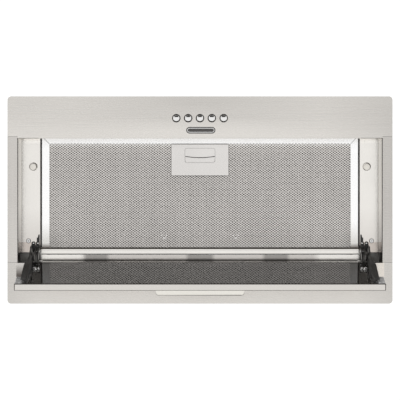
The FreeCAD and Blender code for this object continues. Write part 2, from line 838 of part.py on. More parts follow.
def make_hinge_bracket():
    """Folded bracket: flange with lugs and an ear under the deck, and two cheeks that hold the pins."""
    half = cheek_spacing / 2
    outer = -hinge_plane - half - hinge_sheet / 2
    inner = -hinge_plane + half - hinge_sheet / 2
    pieces = []
    for low in (outer, inner):
        pieces.append(across(cheek_outline(), low, low + hinge_sheet))
        pieces.append(rod((low, pivot[0], pivot[1]), (1, 0, 0), cheek_eye_radius, hinge_sheet))
    low = deck_height - hinge_sheet
    pieces.append(block((-bracket_outer_half, rivet_row + lug_radius, low),
                        (inner + hinge_sheet, bracket_rear, deck_height)))
    for step in range(2):
        place = -(rivet_first_half + step * rivet_pitch)
        pieces.append(rod((place, rivet_row, low), (0, 0, 1), lug_radius, hinge_sheet))
        pieces.append(block((place - lug_radius, rivet_row, low),
                            (place + lug_radius, rivet_row + 2 * lug_radius, deck_height)))
    middle = -rivet_first_half
    step_row = rivet_row - ear_step
    tip_row = rivet_row - ear_length
    ear = [(middle - lug_radius / 2, rivet_row), (middle - lug_radius / 2, step_row), (middle, step_row),
           (middle + lug_radius / 3, tip_row), (middle + lug_radius, tip_row),
           (middle + lug_radius, rivet_row)]
    pieces.append(upward(ear, low, deck_height))
    bracket = fuse(pieces)
    stay_face = -hinge_plane - link_offset - hinge_sheet
    places = [(pivot, outer, inner + hinge_sheet), (stay_pivot, stay_face, inner + hinge_sheet)]
    for (y, z), low, high in places:
        bracket = bracket.cut(rod((low, y, z), (1, 0, 0), hinge_pin_radius, high - low))
    save("hinge_bracket_left", bracket)
    save("hinge_bracket_right", mirrored(bracket))
    pins = [make_pin(y, z, low, high) for (y, z), low, high in places]
    save("hinge_pins", pair(Part.makeCompound(pins + make_rivets())))


def make_pin(y, z, low, high):
    """Pin with a thin head at each end of what it holds."""
    head_radius = hinge_pin_radius + pin_head
    shank = rod((low, y, z), (1, 0, 0), hinge_pin_radius, high - low)
    heads = [rod((low - pin_head, y, z), (1, 0, 0), head_radius, pin_head),
             rod((high, y, z), (1, 0, 0), head_radius, pin_head)]
    return fuse([shank] + heads)


def make_rivets():
    """Two dome rivets that hold the bracket to the deck."""
    under = deck_height - hinge_sheet
    rivets = []
    for step in range(2):
        place = -(rivet_first_half + step * rivet_pitch)
        dome = Part.makeSphere(rivet_radius, vec(place, rivet_row, under))
        cap = block((place - rivet_radius, rivet_row - rivet_radius, under - rivet_height),
                    (place + rivet_radius, rivet_row + rivet_radius, under))
        rivets.append(dome.common(cap))
    return rivets


def make_hinge_screws():
    """One cross-head screw in each deck, beside the bracket."""
    under = deck_height
    head = rod((-hinge_screw_half, hinge_screw_row, under - screw_head_height), (0, 0, 1),
               screw_head_radius, screw_head_height)
    shank = rod((-hinge_screw_half, hinge_screw_row, under), (0, 0, 1), screw_shank_radius,
                recess_sheet + overrun)
    recess_half = screw_shank_radius / 2
    cross = block((-hinge_screw_half - screw_shank_radius, hinge_screw_row - recess_half / 2,
                   under - screw_head_height - overrun),
                  (-hinge_screw_half + screw_shank_radius, hinge_screw_row + recess_half / 2,
                   under - screw_head_height / 2))
    turned = cross.copy()
    turned.rotate(vec(-hinge_screw_half, hinge_screw_row, 0), vec(0, 0, 1), 90)
    screw = fuse([head, shank]).cut(cross).cut(turned)
    save("hinge_screws", pair(screw))


# Side clamps


def make_clamps():
    """Claw that a long screw pulls down on the cabinet board, through the casing wall."""
    block_half = claw_width / 2
    inner = -clamp_half + claw_block_depth / 2
    low = claw_rest_height
    high = low + claw_thickness
    leg_inner = -wall_outer - claw_out_gap
    leg_outer = leg_inner - claw_leg
    outline = [(inner, low), (inner, high), (leg_outer, high), (leg_outer, board_thickness),
               (leg_inner, board_thickness), (leg_inner, low)]
    claw = along(outline, clamp_row - block_half, clamp_row + block_half)
    upright = [e for e in claw.Edges if e.Vertexes[0].Y != e.Vertexes[-1].Y
               and e.Vertexes[0].X < leg_outer + thread_fit and e.Vertexes[0].Z > low]
    claw = claw.makeFillet(claw_leg - claw_out_gap, upright)
    claw = claw.cut(rod((-clamp_half, clamp_row, low - overrun), (0, 0, 1),
                        clamp_screw_radius + thread_fit, claw_thickness + 2 * overrun))
    save("clamp_claw_left", claw)
    save("clamp_claw_right", mirrored(claw))
    head_low = deck_height - clamp_head_height
    head = rod((-clamp_half, clamp_row, head_low), (0, 0, 1), clamp_head_radius, clamp_head_height)
    shank = rod((-clamp_half, clamp_row, deck_height), (0, 0, 1), clamp_screw_radius,
                casing_height - casing_sheet - deck_height - sheet_gap)
    save("clamp_screws", pair(head.fuse(shank)))
    plug = rod((-clamp_half, clamp_row, deck_height - plug_height), (0, 0, 1), plug_radius, plug_height)
    crown = [e for e in plug.Edges if e.BoundBox.ZMax < deck_height - plug_wall]
    plug = plug.makeChamfer(plug_wall / 2, crown)
    plug = plug.cut(rod((-clamp_half, clamp_row, deck_height - plug_height + plug_wall), (0, 0, 1),
                        plug_radius - plug_wall, plug_height))
    save("clamp_plugs", pair(plug))


# Upper box and collar


def make_upper_box():
    outer = block((-box_half_width, -box_half_depth, box_floor), (box_half_width, box_half_depth, box_top))
    inner = block((casing_sheet - box_half_width, casing_sheet - box_half_depth, box_floor - overrun),
                  (box_half_width - casing_sheet, box_half_depth - casing_sheet, box_top + overrun))
    shell = outer.cut(inner)
    flange_x = box_half_width + box_flange
    flange = block((-flange_x, -end_outer, box_floor), (flange_x, end_outer, box_floor + casing_sheet))
    flange = flange.cut(inner)
    save("upper_box", fuse([shell, flange]))
    lid = block((-box_half_width, -box_half_depth, box_top), (box_half_width, box_half_depth,
                                                              box_top + casing_sheet))
    lid = lid.cut(rod((0, collar_row, box_top - overrun), (0, 0, 1), collar_radius - collar_sheet,
                      3 * overrun))
    save("upper_box_lid", lid)


def make_collar():
    base = box_top + casing_sheet
    bore = collar_radius - collar_sheet
    flange = rod((0, collar_row, base), (0, 0, 1), collar_flange_radius, collar_sheet)
    tube = rod((0, collar_row, base), (0, 0, 1), collar_radius, collar_height)
    collar = flange.fuse(tube).cut(rod((0, collar_row, base - overrun), (0, 0, 1), bore,
                                       collar_height + 2 * overrun))
    stop_top = damper_level - damper_sheet / 2 - sheet_gap
    stop = rod((0, collar_row, stop_top - damper_sheet), (0, 0, 1), bore + collar_sheet / 2, damper_sheet)
    stop = stop.cut(rod((0, collar_row, stop_top - overrun), (0, 0, 1), bore - damper_stop, 2 * overrun))
    collar = fuse([collar, stop])
    pin_hole = rod((-collar_radius - overrun, collar_row, damper_level), (1, 0, 0), damper_pin_radius,
                   2 * (collar_radius + overrun))
    save("duct_collar", collar.cut(pin_hole))
    pin = rod((-collar_radius, collar_row, damper_level), (1, 0, 0), damper_pin_radius, 2 * collar_radius)
    save("damper_pin", pin)


def make_dampers():
    """Two half discs that the air lifts, each with a knuckle on the common pin."""
    radius = collar_radius - collar_sheet - damper_gap
    low = damper_level - damper_sheet / 2
    disc = rod((0, collar_row, low), (0, 0, 1), radius, damper_sheet)
    front = disc.common(block((-radius, collar_row - radius, low),
                              (radius, collar_row - damper_centre_gap, low + damper_sheet)))
    knuckle = rod((-knuckle_start - knuckle_length, collar_row, damper_level), (1, 0, 0),
                  damper_knuckle_radius, knuckle_length)
    web = block((-knuckle_start - knuckle_length, collar_row - damper_centre_gap - damper_sheet, low),
                (-knuckle_start, collar_row, low + damper_sheet))
    bore = rod((-radius, collar_row, damper_level), (1, 0, 0), damper_pin_radius + running_fit, 2 * radius)
    front = fuse([front, knuckle, web]).cut(bore)
    rear = front.copy()
    rear.rotate(vec(0, collar_row, damper_level), vec(0, 0, 1), 180)
    save("damper_front", front)
    save("damper_rear", rear)


# Blower


def on_wheel(radius, degrees, x=0.0):
    """Point at a radius and angle round the blower's axis."""
    angle = math.radians(degrees)
    return vec(x, wheel_centre[0] + radius * math.cos(angle), wheel_centre[1] + radius * math.sin(angle))


def scroll_face(offset, x, steps=10):
    """Inside of the scroll and its outlet, grown outwards by the offset."""
    left = outlet_left - offset
    start = math.degrees(math.acos(left / (scroll_start_radius + offset)))
    points = []
    for step in range(steps + 1):
        angle = start + (360.0 - start) * step / steps
        points.append(on_wheel(scroll_start_radius + offset + scroll_growth * step / steps, angle, x))
    curve = Part.BSplineCurve()
    curve.interpolate(points)
    top = box_top
    top_left = vec(x, wheel_centre[0] + left, top)
    top_right = vec(x, points[-1].y, top)
    edges = [curve.toShape(), Part.LineSegment(points[-1], top_right).toShape(),
             Part.LineSegment(top_right, top_left).toShape(), Part.LineSegment(top_left, points[0]).toShape()]
    return Part.Face(Part.Wire(edges))


def make_scroll():
    outer = scroll_face(scroll_sheet, 0)
    inner = scroll_face(0, 0)
    wall = outer.cut(inner).extrude(vec(scroll_half_width, 0, 0))
    side = scroll_face(scroll_sheet, scroll_half_width).extrude(vec(scroll_sheet, 0, 0))
    inlet = rod((scroll_half_width - overrun, wheel_centre[0], wheel_centre[1]), (1, 0, 0), inlet_radius,
                2 * overrun + scroll_sheet + inlet_lip)
    lip = rod((scroll_half_width, wheel_centre[0], wheel_centre[1]), (1, 0, 0),
              inlet_radius + scroll_sheet, scroll_sheet + inlet_lip)
    half = fuse([wall, side, lip]).cut(inlet)
    save("scroll_right", half)
    save("scroll_left", mirrored(half))


def blade():
    """One forward-curved blade of the wheel."""
    thickness = math.degrees(wheel_sheet / wheel_inner_radius)
    middle = (wheel_inner_radius + wheel_radius) / 2
    arcs = []
    ends = []
    for turn_angle in (0, thickness):
        points = [on_wheel(wheel_inner_radius, turn_angle, -wheel_half_width),
                  on_wheel(middle, turn_angle + blade_bend, -wheel_half_width),
                  on_wheel(wheel_radius, turn_angle + blade_sweep, -wheel_half_width)]
        arcs.append(Part.Arc(*points).toShape())
        ends.append(points)
    edges = [arcs[0], Part.LineSegment(ends[0][2], ends[1][2]).toShape(), arcs[1],
             Part.LineSegment(ends[1][0], ends[0][0]).toShape()]
    face_shape = Part.Face(Part.Wire(Part.__sortEdges__(edges)))
    return face_shape.extrude(vec(2 * wheel_half_width, 0, 0))


def make_wheel():
    """Double-inlet blower wheel: blades between two rings, with a disc and hub in the middle."""
    first = blade()
    centre = vec(0, wheel_centre[0], wheel_centre[1])
    pieces = []
    for index in range(wheel_blades):
        copy = first.copy()
        copy.rotate(centre, vec(1, 0, 0), 360.0 * index / wheel_blades)
        pieces.append(copy)
    ring_width = 2 * wheel_sheet
    for low in (-wheel_half_width, wheel_half_width - ring_width):
        ring = rod((low, wheel_centre[0], wheel_centre[1]), (1, 0, 0), wheel_radius, ring_width)
        pieces.append(ring.cut(rod((low, wheel_centre[0], wheel_centre[1]), (1, 0, 0), wheel_inner_radius,
                                   ring_width)))
    pieces.append(rod((-wheel_sheet, wheel_centre[0], wheel_centre[1]), (1, 0, 0), wheel_radius, ring_width))
    pieces.append(rod((-hub_half_length, wheel_centre[0], wheel_centre[1]), (1, 0, 0), hub_radius,
                      2 * hub_half_length))
    wheel = fuse(pieces)
    wheel = wheel.cut(rod((-2 * hub_half_length, wheel_centre[0], wheel_centre[1]), (1, 0, 0), shaft_radius,
                          4 * hub_half_length))
    save("blower_wheel", wheel)
    shaft = rod((-hub_half_length - overrun, wheel_centre[0], wheel_centre[1]), (1, 0, 0), shaft_radius,
                hub_half_length + motor_start + motor_length)
    save("motor_shaft", shaft)


def make_motor():
    """Motor inside the wheel's right half, carried by three arms on the scroll's side."""
    end = motor_start + motor_length
    shoulder = motor_shoulder
    profile = [(motor_start, shaft_radius + shaft_fit), (motor_start, motor_boss_radius),
               (motor_start + shoulder / 2, motor_boss_radius), (motor_start + shoulder, motor_radius),
               (end - shoulder, motor_radius), (end, motor_radius - shoulder),
               (end, shaft_radius + shaft_fit)]
    points = [vec(x, wheel_centre[0] + r, wheel_centre[1]) for x, r in profile]
    motor = polygon(points).revolve(vec(0, wheel_centre[0], wheel_centre[1]), vec(1, 0, 0), 360)
    save("motor", motor)
    plate = rod((end, wheel_centre[0], wheel_centre[1]), (1, 0, 0), motor_radius - shoulder, bracket_sheet)
    seat_x = scroll_half_width + scroll_sheet
    pieces = [plate]
    for index in range(bracket_arms):
        arm = block((end, wheel_centre[0] - bracket_arm_width / 2, wheel_centre[1]),
                    (end + bracket_sheet, wheel_centre[0] + bracket_arm_width / 2,
                     wheel_centre[1] + bracket_arm_radius))
        leg = block((seat_x, wheel_centre[0] - bracket_arm_width / 2,
                     wheel_centre[1] + bracket_arm_radius - bracket_sheet),
                    (end + bracket_sheet, wheel_centre[0] + bracket_arm_width / 2,
                     wheel_centre[1] + bracket_arm_radius))
        spoke = arm.fuse(leg)
        spoke.rotate(vec(0, wheel_centre[0], wheel_centre[1]), vec(1, 0, 0),
                     bracket_turn + 360.0 * index / bracket_arms)
        pieces.append(spoke)
    bracket = fuse(pieces).cut(rod((end - overrun, wheel_centre[0], wheel_centre[1]), (1, 0, 0),
                                   2 * shaft_radius, 3 * overrun))
    save("motor_bracket", bracket)


def make_capacitor():
    """Run capacitor on the inner face of the upper box, on a small foot."""
    wall = casing_sheet - box_half_width
    length, depth, height = capacitor_size
    low = box_floor + height
    foot = block((wall, -depth / 2 - capacitor_foot, low - capacitor_foot),
                 (wall + capacitor_foot, depth / 2 + capacitor_foot, low + height + capacitor_foot))
    can = block((wall + capacitor_foot, -depth / 2, low), (wall + capacitor_foot + length, depth / 2,
                                                           low + height))
    outer_edges = [e for e in can.Edges if e.BoundBox.XMin > wall + 2 * capacitor_foot]
    can = can.makeFillet(capacitor_foot, outer_edges)
    save("capacitor", fuse([foot, can]))


# Mains entry


def make_terminal_box():
    width, depth, height = terminal_size
    base = box_top + casing_sheet
    left = -terminal_left - width
    tray = block((left, -depth, base), (left + width, 0, base + height))
    tray = tray.cut(block((left + terminal_wall, terminal_wall - depth, base + terminal_wall),
                          (left + width - terminal_wall, -terminal_wall, base + height + overrun)))
    gland_height = base + height / 2
    hole = rod((left - overrun, -depth / 2, gland_height), (1, 0, 0), gland_radius - terminal_wall,
               2 * overrun + terminal_wall)
    tray = tray.cut(hole)
    save("terminal_box", tray)
    cover = block((left, -depth, base + height), (left + width, 0, base + height + terminal_wall))
    cover = cover.makeFillet(terminal_wall / 2, [e for e in cover.Edges if e.BoundBox.ZMin > base + height])
    save("terminal_cover", cover)
    nose = rod((left - gland_length, -depth / 2, gland_height), (1, 0, 0), gland_radius, gland_length)
    nose = nose.makeChamfer(terminal_wall, [e for e in nose.Edges if e.BoundBox.XMax < left - terminal_wall])
    neck = rod((left, -depth / 2, gland_height), (1, 0, 0), gland_radius - terminal_wall - thread_fit,
               terminal_wall)
    bore = rod((left - 2 * gland_length, -depth / 2, gland_height), (1, 0, 0), gland_bore, 3 * gland_length)
    save("cable_gland", fuse([nose, neck]).cut(bore))
    strip = block((left + 2 * terminal_wall, -depth * strip_far_share, base + terminal_wall),
                  (left + width - 2 * terminal_wall, -depth * strip_near_share, base + height / 2))
    save("terminal_strip", strip)


# Controls


def button_places():
    first = -button_pitch * (button_count - 1) / 2
    return [first + index * button_pitch for index in range(button_count)]


def make_buttons():
    """Caps with stems, each in its own ring in the front rail."""
    for number, place in enumerate(button_places(), 1):
        low = face - button_proud
        cap = rod((place, button_y, low), (0, 0, 1), button_radius, button_proud + button_barrel)
        crown = [e for e in cap.Edges if e.BoundBox.ZMax < face]
        cap = cap.makeFillet(button_dome, crown)
        stem = rod((place, button_y, face + button_barrel), (0, 0, 1), stem_radius, stem_length)
        save("button_" + str(number), fuse([cap, stem]))
    rings = []
    for place in button_places():
        flange = rod((place, button_y, face - bezel_proud), (0, 0, 1), bezel_radius, bezel_proud)
        barrel = rod((place, button_y, face), (0, 0, 1), bezel_barrel_radius, bezel_depth)
        bore = rod((place, button_y, face - overrun), (0, 0, 1), button_radius + bezel_bore_gap,
                   bezel_depth + 2 * overrun)
        rings.append(flange.fuse(barrel).cut(bore))
    save("button_rings", Part.makeCompound(rings))


def make_controls():
    """Switch bank above the buttons, and the tray that hangs it from the front rail."""
    low = face + bank_lift
    bank = block((-bank_half_width, button_y - bank_half_depth, low),
                 (bank_half_width, button_y + bank_half_depth, low + bank_height))
    for place in button_places():
        bank = bank.cut(rod((place, button_y, low - overrun), (0, 0, 1), stem_radius + stem_gap,
                            overrun + stem_length + button_travel))
    save("switch_bank", bank)
    wall = control_wall
    top = seat + control_height
    outer = block((-control_half_width, button_y - control_half_depth, seat),
                  (control_half_width, button_y + control_half_depth, top))
    inner = block((wall - control_half_width, wall + button_y - control_half_depth, seat - overrun),
                  (control_half_width - wall, button_y + control_half_depth - wall, top - wall))
    tray = outer.cut(inner)
    posts = []
    for side in (-1, 1):
        edge = side * bank_half_width
        far = edge + side * post_width
        posts.append(block((min(edge, far), button_y - bank_half_depth, low),
                           (max(edge, far), button_y + bank_half_depth, top - wall)))
    save("control_tray", fuse([tray] + posts))


# Fasteners


def hexagon_head(x, y, z):
    """Small hexagon screw head standing on a face."""
    corners = [math.radians(360.0 * index / hexagon_sides) for index in range(hexagon_sides)]
    outline = [(x + screw_radius * math.cos(a), y + screw_radius * math.sin(a)) for a in corners]
    return upward(outline, z, z + screw_height)


def make_screws():
    """Hexagon-headed screws on the flange of the upper box and along the casing's top."""
    screws = []
    for side in (-1, 1):
        row = side * (box_half_depth + end_outer) / 2
        for share in screw_x_shares:
            screws.append(hexagon_head(box_half_width * share, row, box_floor + casing_sheet))
        place = side * (wall_inner - casing_flange / 2)
        for share in screw_y_shares:
            screws.append(hexagon_head(place, end_outer * share, roof))
    save("casing_screws", Part.makeCompound(screws))


def main():
    os.makedirs("parts", exist_ok=True)
    make_fascia()
    make_casing()
    make_recess()
    make_filter_frame()
    make_filter_mesh()
    make_filter_handle()
    make_filter_latch()
    make_flap()
    make_hinge_arm()
    make_hinge_stay()
    make_hinge_bracket()
    make_hinge_screws()
    make_clamps()
    make_upper_box()
    make_collar()
    make_dampers()
    make_scroll()
    make_wheel()
    make_motor()
    make_capacitor()
    make_terminal_box()
    make_buttons()
    make_controls()
    make_screws()


main()
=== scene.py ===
import math

import bpy
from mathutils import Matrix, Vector


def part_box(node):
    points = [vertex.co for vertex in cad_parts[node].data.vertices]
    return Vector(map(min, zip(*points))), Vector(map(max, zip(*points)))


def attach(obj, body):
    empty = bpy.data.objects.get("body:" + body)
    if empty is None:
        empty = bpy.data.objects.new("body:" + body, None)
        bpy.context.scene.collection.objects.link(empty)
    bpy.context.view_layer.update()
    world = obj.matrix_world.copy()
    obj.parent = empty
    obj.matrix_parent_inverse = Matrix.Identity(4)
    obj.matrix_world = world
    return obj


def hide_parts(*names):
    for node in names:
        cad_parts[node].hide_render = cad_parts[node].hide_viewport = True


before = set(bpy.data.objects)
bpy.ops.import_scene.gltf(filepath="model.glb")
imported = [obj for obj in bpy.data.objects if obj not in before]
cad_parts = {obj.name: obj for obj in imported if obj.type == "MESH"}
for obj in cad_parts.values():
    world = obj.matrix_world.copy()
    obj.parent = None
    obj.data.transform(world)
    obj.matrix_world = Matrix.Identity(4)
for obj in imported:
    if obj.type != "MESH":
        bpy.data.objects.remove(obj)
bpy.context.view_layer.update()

# Camera, straight below the hood, with the button rail at the top of the picture
IMAGE_WIDTH = 400
FOCAL_PIXELS = 2888.0
SENSOR_WIDTH = 36.0
CAMERA_DISTANCE = 3.904

# Stage. Mirroring surfaces see the world and the floor brighter than the soft light they give, and
# they see a dark card
FLOOR_HEIGHT = -6.0
FLOOR_SIZE = 30.0
FLOOR_COLOUR = (0.86, 0.86, 0.85)
FLOOR_ROUGH = 0.9
WORLD_SOFT = 0.72
WORLD_MIRRORED = 1.1
MIRROR_RAYS = ("Is Glossy Ray", "Is Transmission Ray")
CARD_LINE = ((-1.5, -5.4), (-2.6, -0.4))
CARD_HALF_WIDTH = 2.2
CARD_COLOUR = (0.055, 0.050, 0.045)

# Soft lamps: name, place, size and watts
LAMP_AIM = (0.0, 0.0, 0.0)
LAMPS = (
    ("lamp_left", (-2.2, -1.2, -2.6), 1.8, 60.0),
    ("lamp_right", (2.2, -1.0, -2.6), 1.8, 45.0),
    ("lamp_above", (0.0, 0.5, 2.8), 2.0, 45.0),
)

# Linear colours of the steel and the other metals
FASCIA_COLOUR = (0.675, 0.65, 0.615)
SIDE_RAIL_COLOUR = (0.61, 0.585, 0.555)
RECESS_COLOUR = (0.765, 0.742, 0.705)
# Painted shade on the ledge's rear strip
STRIP_SHADE_COLOUR = (0.53, 0.505, 0.48)
TAB_COLOUR = (0.79, 0.765, 0.71)
FILTER_COLOUR = (1.0, 0.995, 0.99)
# Painted shade on the rear ends of the filter's side rails
FILTER_SHADE_COLOUR = (0.74, 0.73, 0.70)
FILTER_END_SHADE_COLOUR = (0.20, 0.18, 0.165)
NET_COLOUR = (0.775, 0.745, 0.715)
# Painted shade: the upper layer of net, the same aluminium, given a darker colour than the lower
# one
NET_BACK_SHADE_COLOUR = (0.36, 0.34, 0.325)
# Painted highlight on the net along the filter's front rail
NET_EDGE_HIGHLIGHT_COLOUR = (1.0, 0.98, 0.95)
HANDLE_COLOUR = (0.70, 0.68, 0.66)
ZINC_COLOUR = (0.50, 0.485, 0.46)
CHROME_COLOUR = (0.76, 0.755, 0.745)
PLUG_COLOUR = (0.90, 0.865, 0.80)
CLAMP_COLOUR = (0.42, 0.42, 0.41)
# Painted shade on the recess walls, and towards and at the deck's rear end
WALL_FACING_SHADE_COLOUR = (0.37, 0.345, 0.31)
WALL_SHADE_COLOUR = (0.10, 0.09, 0.08)
DECK_END_SHADE_COLOUR = (0.515, 0.465, 0.425)
DECK_SHADE_COLOUR = (0.40, 0.36, 0.33)
# Painted shadow and painted highlight on the rear rail beside the hinges
PATCH_SHADOW_COLOUR = (0.13, 0.115, 0.105)
PATCH_HIGHLIGHT_COLOUR = (0.76, 0.71, 0.65)

# Linear colours of paint, plastic and glass
HINGE_COLOUR = (0.018, 0.017, 0.016)
GLASS_COLOUR = (0.012, 0.011, 0.010)
GLASS_TINT = (1.0, 0.955, 0.92)
FIELD_COLOUR = (0.05, 0.047, 0.045)
# Dark seams, and painted shadow lines along edges, gaps and folds
SEAM_AND_SHADOW_COLOUR = (0.016, 0.013, 0.011)
SOFT_SHADOW_COLOUR = (0.17, 0.15, 0.13)
WHEEL_COLOUR = (0.03, 0.03, 0.033)
MOTOR_COLOUR = (0.12, 0.12, 0.125)
BOX_COLOUR = (0.035, 0.035, 0.037)
TERMINAL_COLOUR = (0.72, 0.71, 0.67)

# Noise: the values between which it changes, and how detailed it is
NOISE_LOW = 0.3
NOISE_HIGH = 0.7
DETAIL_SOFT = 2.0
DETAIL_FINE = 3.0
DETAIL_SHARP = 4.0

# Brushed steel: grain, clouds, and the swings of brightness and roughness
GRAIN_SCALE = 8.0
GRAIN_STRETCH = (2.0, 260.0, 260.0)
GRAIN_SHARE = 0.6
GRAIN_DEPTH = 0.04
GRAIN_STEP = 0.0002
GRAIN_GLOSS_STRETCH = 0.4
CLOUD_SCALE = 5.0
CLOUD_SHARE = 0.4
BRUSHED_SWING = (0.97, 1.03)
BRUSHED_ROUGH = (0.24, 0.3)

# Smooth sheet, zinc coat, moulded plastic, glossy panel and pressed corners
WAVE_SCALE = 14.0
WAVE_STEP = 0.001
SPECK_SCALE = 2400.0
SHEET_SWING = (0.96, 1.03)
SHEET_ROUGH = (0.10, 0.2)
SHEET_DEPTH = 0.05
CRYSTAL_SCALE = 90.0
ZINC_SWING = (0.86, 1.12)
ZINC_ROUGH = (0.36, 0.5)
PORE_SCALE = 1400.0
PORE_STEP = 0.0001
PORE_SWING = (0.9, 1.1)
PORE_ROUGH = (0.42, 0.55)
PORE_DEPTH = 0.15
SEAM_ROUGH = (0.6, 0.75)
SEAM_GLOSS = 0.15
SMEAR_SCALE = 16.0
SMEAR_STRETCH = (1.0, 3.0, 3.0)
SMEAR_SWING = (0.8, 1.3)
SMEAR_ROUGH = (0.015, 0.045)
GLASS_IOR = 1.5
MOTTLE_SCALE = 520.0
MOTTLE_SWING = (0.03, 2.6)
MOTTLE_METALLIC = 0.3

# Roughness of single looks, and their relief where it differs
FILTER_ROUGH = (0.22, 0.28)
HANDLE_ROUGH = (0.2, 0.215)
SMOOTH_DEPTH = 0.02
NET_ROUGH = (0.15, 0.25)
NET_BACK_ROUGH = (0.35, 0.5)
CHROME_ROUGH = (0.03, 0.06)
CHROME_DEPTH = 0.01
FASTENER_ROUGH = (0.15, 0.25)
HINGE_ROUGH = (0.25, 0.38)
HINGE_DEPTH = 0.08
CLAMP_ROUGH = (0.35, 0.45)
SATIN_ROUGH = (0.3, 0.4)

# Sockets of a mix node that mixes colours
MIX_BEFORE = 6
MIX_AFTER = 7
MIX_RESULT = 2

# Fascia, painted light and shade: all but the rear rail get painted shade to the right, the front
# rail a painted highlight towards the opening and painted shade in the middle of its front edge,
# and the rear rail painted shade at its ends
RIGHT_RANGE = (0.160, 0.260)
RIGHT_GAIN = 0.90
FRONT_RANGE = (-0.140, -0.084)
FRONT_GAIN = 1.09
FRONT_MIDDLE_X = (0.170, 0.020)
FRONT_MIDDLE_Y = (-0.095, -0.130)
MIDDLE_GAIN = 0.87
REAR_ENDS_RANGE = (0.215, 0.255)
REAR_ENDS_GAIN = 0.90

# Rear rail: the two edges in X of a painted shadow patch beside the left hinge and a painted
# highlight patch beside the right hinge, how the dark one fades in Y, and the rear edge of both
PATCH_LEFT = ((-0.2484, -0.2478), (-0.2355, -0.2360))
PATCH_RIGHT = ((0.2490, 0.2484), (0.2340, 0.2420))
PATCH_Y = (0.0868, 0.1010)
PATCH_END = (0.1042, 0.1036)

# Recess panels, painted light and shade: painted highlights at the deck's fold and front, painted
# shade towards and at its rear end, and the normals that tell a wall, which gets painted shade
DECK_FOLD_RANGE = (0.2390, 0.2425)
DECK_GAIN = 1.09
DECK_FRONT_RANGE = (-0.0765, -0.0835)
DECK_FRONT_GAIN = 1.3
DECK_SHADE_RANGE = (0.010, 0.060)
DECK_SHADE = 0.35
DECK_END_RANGE = (0.0572, 0.0582)
WALL_FACING = (0.6, 0.9)

# Rear ledge: painted shade on its strip between the ends, and darker patches of painted shade on
# it, each with middle and half width
STRIP_MIDDLE_RANGE = (0.165, 0.155)
STRIP_REAR_RANGE = (0.0744, 0.0750)
STRIP_SHADE_PATCHES = ((-0.142, 0.019), (0.0, 0.021), (0.104, 0.020))
STRIP_PATCH_SOFT = 0.006
STRIP_PATCH_GAIN = 0.55

# Filter: painted shade at the rear ends of its side rails, and a painted highlight on the net along
# its front rail
FILTER_SIDE_RANGE = (0.2050, 0.2056)
FILTER_SHADES = (((0.030, 0.056), FILTER_SHADE_COLOUR), ((0.0590, 0.0650), FILTER_END_SHADE_COLOUR))
NET_EDGE_RANGE = (-0.0705, -0.0760)

# Flap: its pressed corners, by place and normal
CORNER_RANGE = (0.2312, 0.2318)
CORNER_FACING = (-0.5, -0.8)

# Net of the grease filter, with its uneven holes as waves along X
NET_PITCH_X = 0.00446
NET_PITCH_Y = 0.00330
NET_HOLE_SHARE = 0.70
NET_BACK_HOLE_SHARE = 0.45
NET_UNEVEN_SHARE = 0.012
NET_WAVES = ((611.0, 0.0), (233.0, 1.0))
NET_SHEET = 0.0005
NET_INSET = 0.0002
NET_LEVEL = 0.0009
NET_LAYER_GAP = 0.0045
NET_BACK_SCALE = 2.0
NET_TWIST = 0.00004
NET_ROUNDING = 1e6

# Badge plate under the buttons
BADGE_CENTRE_X = 0.0011
BADGE_CENTRE_Y = -0.0942
BADGE_LENGTH = 0.0394
BADGE_HEIGHT = 0.0088
BADGE_RIM = 0.0013
BADGE_LINE = 0.0008
BADGE_PROUD = 0.0009
BADGE_END_STEPS = 14

# Button domes
BUTTONS = 5
DOME_STEPS = 32
DOME_RADIUS = 0.0043
DOME_SHARES = (0.25, 0.5, 0.75, 0.9, 1.0)
DOME_CURVE = 0.012
DOME_PROUD = 0.0005
DOME_SKIRT = 0.0005

# Strands that draw the seams and the painted shadow lines. Those whose ends are within TOUCH, in
# metres, are closed
TOUCH = 1e-6
STRAND_SIDES = 6
SHARPEST_TURN = 0.5
OUTLINE_CORNER_STEPS = 5
UP = (0.0, 0.0, 1.0)

# From here on, places are in millimetres and angles in degrees
MILLIMETRE = 0.001

# Where the flap turns, and how far it is open
FLAP_ANGLE = 99.1
FLAP_PIVOT = (86.13, 1.35)

# Long painted shadow lines, each with its two ends and its width: in front of the ledge's strip,
# behind it, and at the rear rail's edge. Then a faint painted shadow line at the front rail's edge
LONG_SHADOW_LINES = (
    ((-217.4, 74.0, 50.9), (217.4, 74.0, 50.9), 1.15),
    ((-218.3, 81.5, 27.6), (218.3, 81.5, 27.6), 1.35),
    ((-213.0, 84.15, -3.4), (213.0, 84.15, -3.4), 0.7),
)
RAIL_EDGE = ((-217.0, -83.5, -4.0), (217.0, -83.5, -4.0), 0.14)

# Seams and painted shadow lines at both sides, given for the right one: seams of the side rail to
# the front and the rear rail, and painted shadow lines at the front rail's ends, the side rail to
# the wall, the rear rail's ends, and the wall to the deck
SIDE_SEAMS_AND_SHADOW_LINES = (
    ((246.9, -85.8, -3.95), (259.8, -85.8, -3.95), 0.34),
    ((246.9, 84.4, -3.95), (259.8, 84.4, -3.95), 0.34),
    ((217.0, -83.45, -4.0), (246.9, -83.45, -4.0), 0.6),
    ((246.1, -83.4, -3.6), (246.1, 83.9, -3.6), 1.0),
    ((233.0, 84.7, -3.9), (246.6, 84.7, -3.9), 0.8),
    ((243.9, -83.0, 53.9), (243.9, 71.2, 53.9), 0.22),
)

# Round lines, given for the right side: centre, radius, two angles, steps and width. They are the
# rim of the screw, a ring of painted shade on the rim of the plug and the painted shadow beside the
# plug
SCREW_RING = ((235.0, 56.0, 52.4), 2.85, 0.0, 360.0, 20, 0.7)
PLUG_RINGS = (
    ((228.6, -45.2, 50.35), 4.5, 0.0, 360.0, 24, 0.4),
    ((228.3, -45.8, 50.4), 5.0, -100.0, 20.0, 14, 1.2),
)

# Cross in the screw head
CROSS_CENTRE = (235.0, 56.0)
CROSS_HEIGHT = 52.35
CROSS_REACH = 1.2
CROSS_WIDTH = 0.45
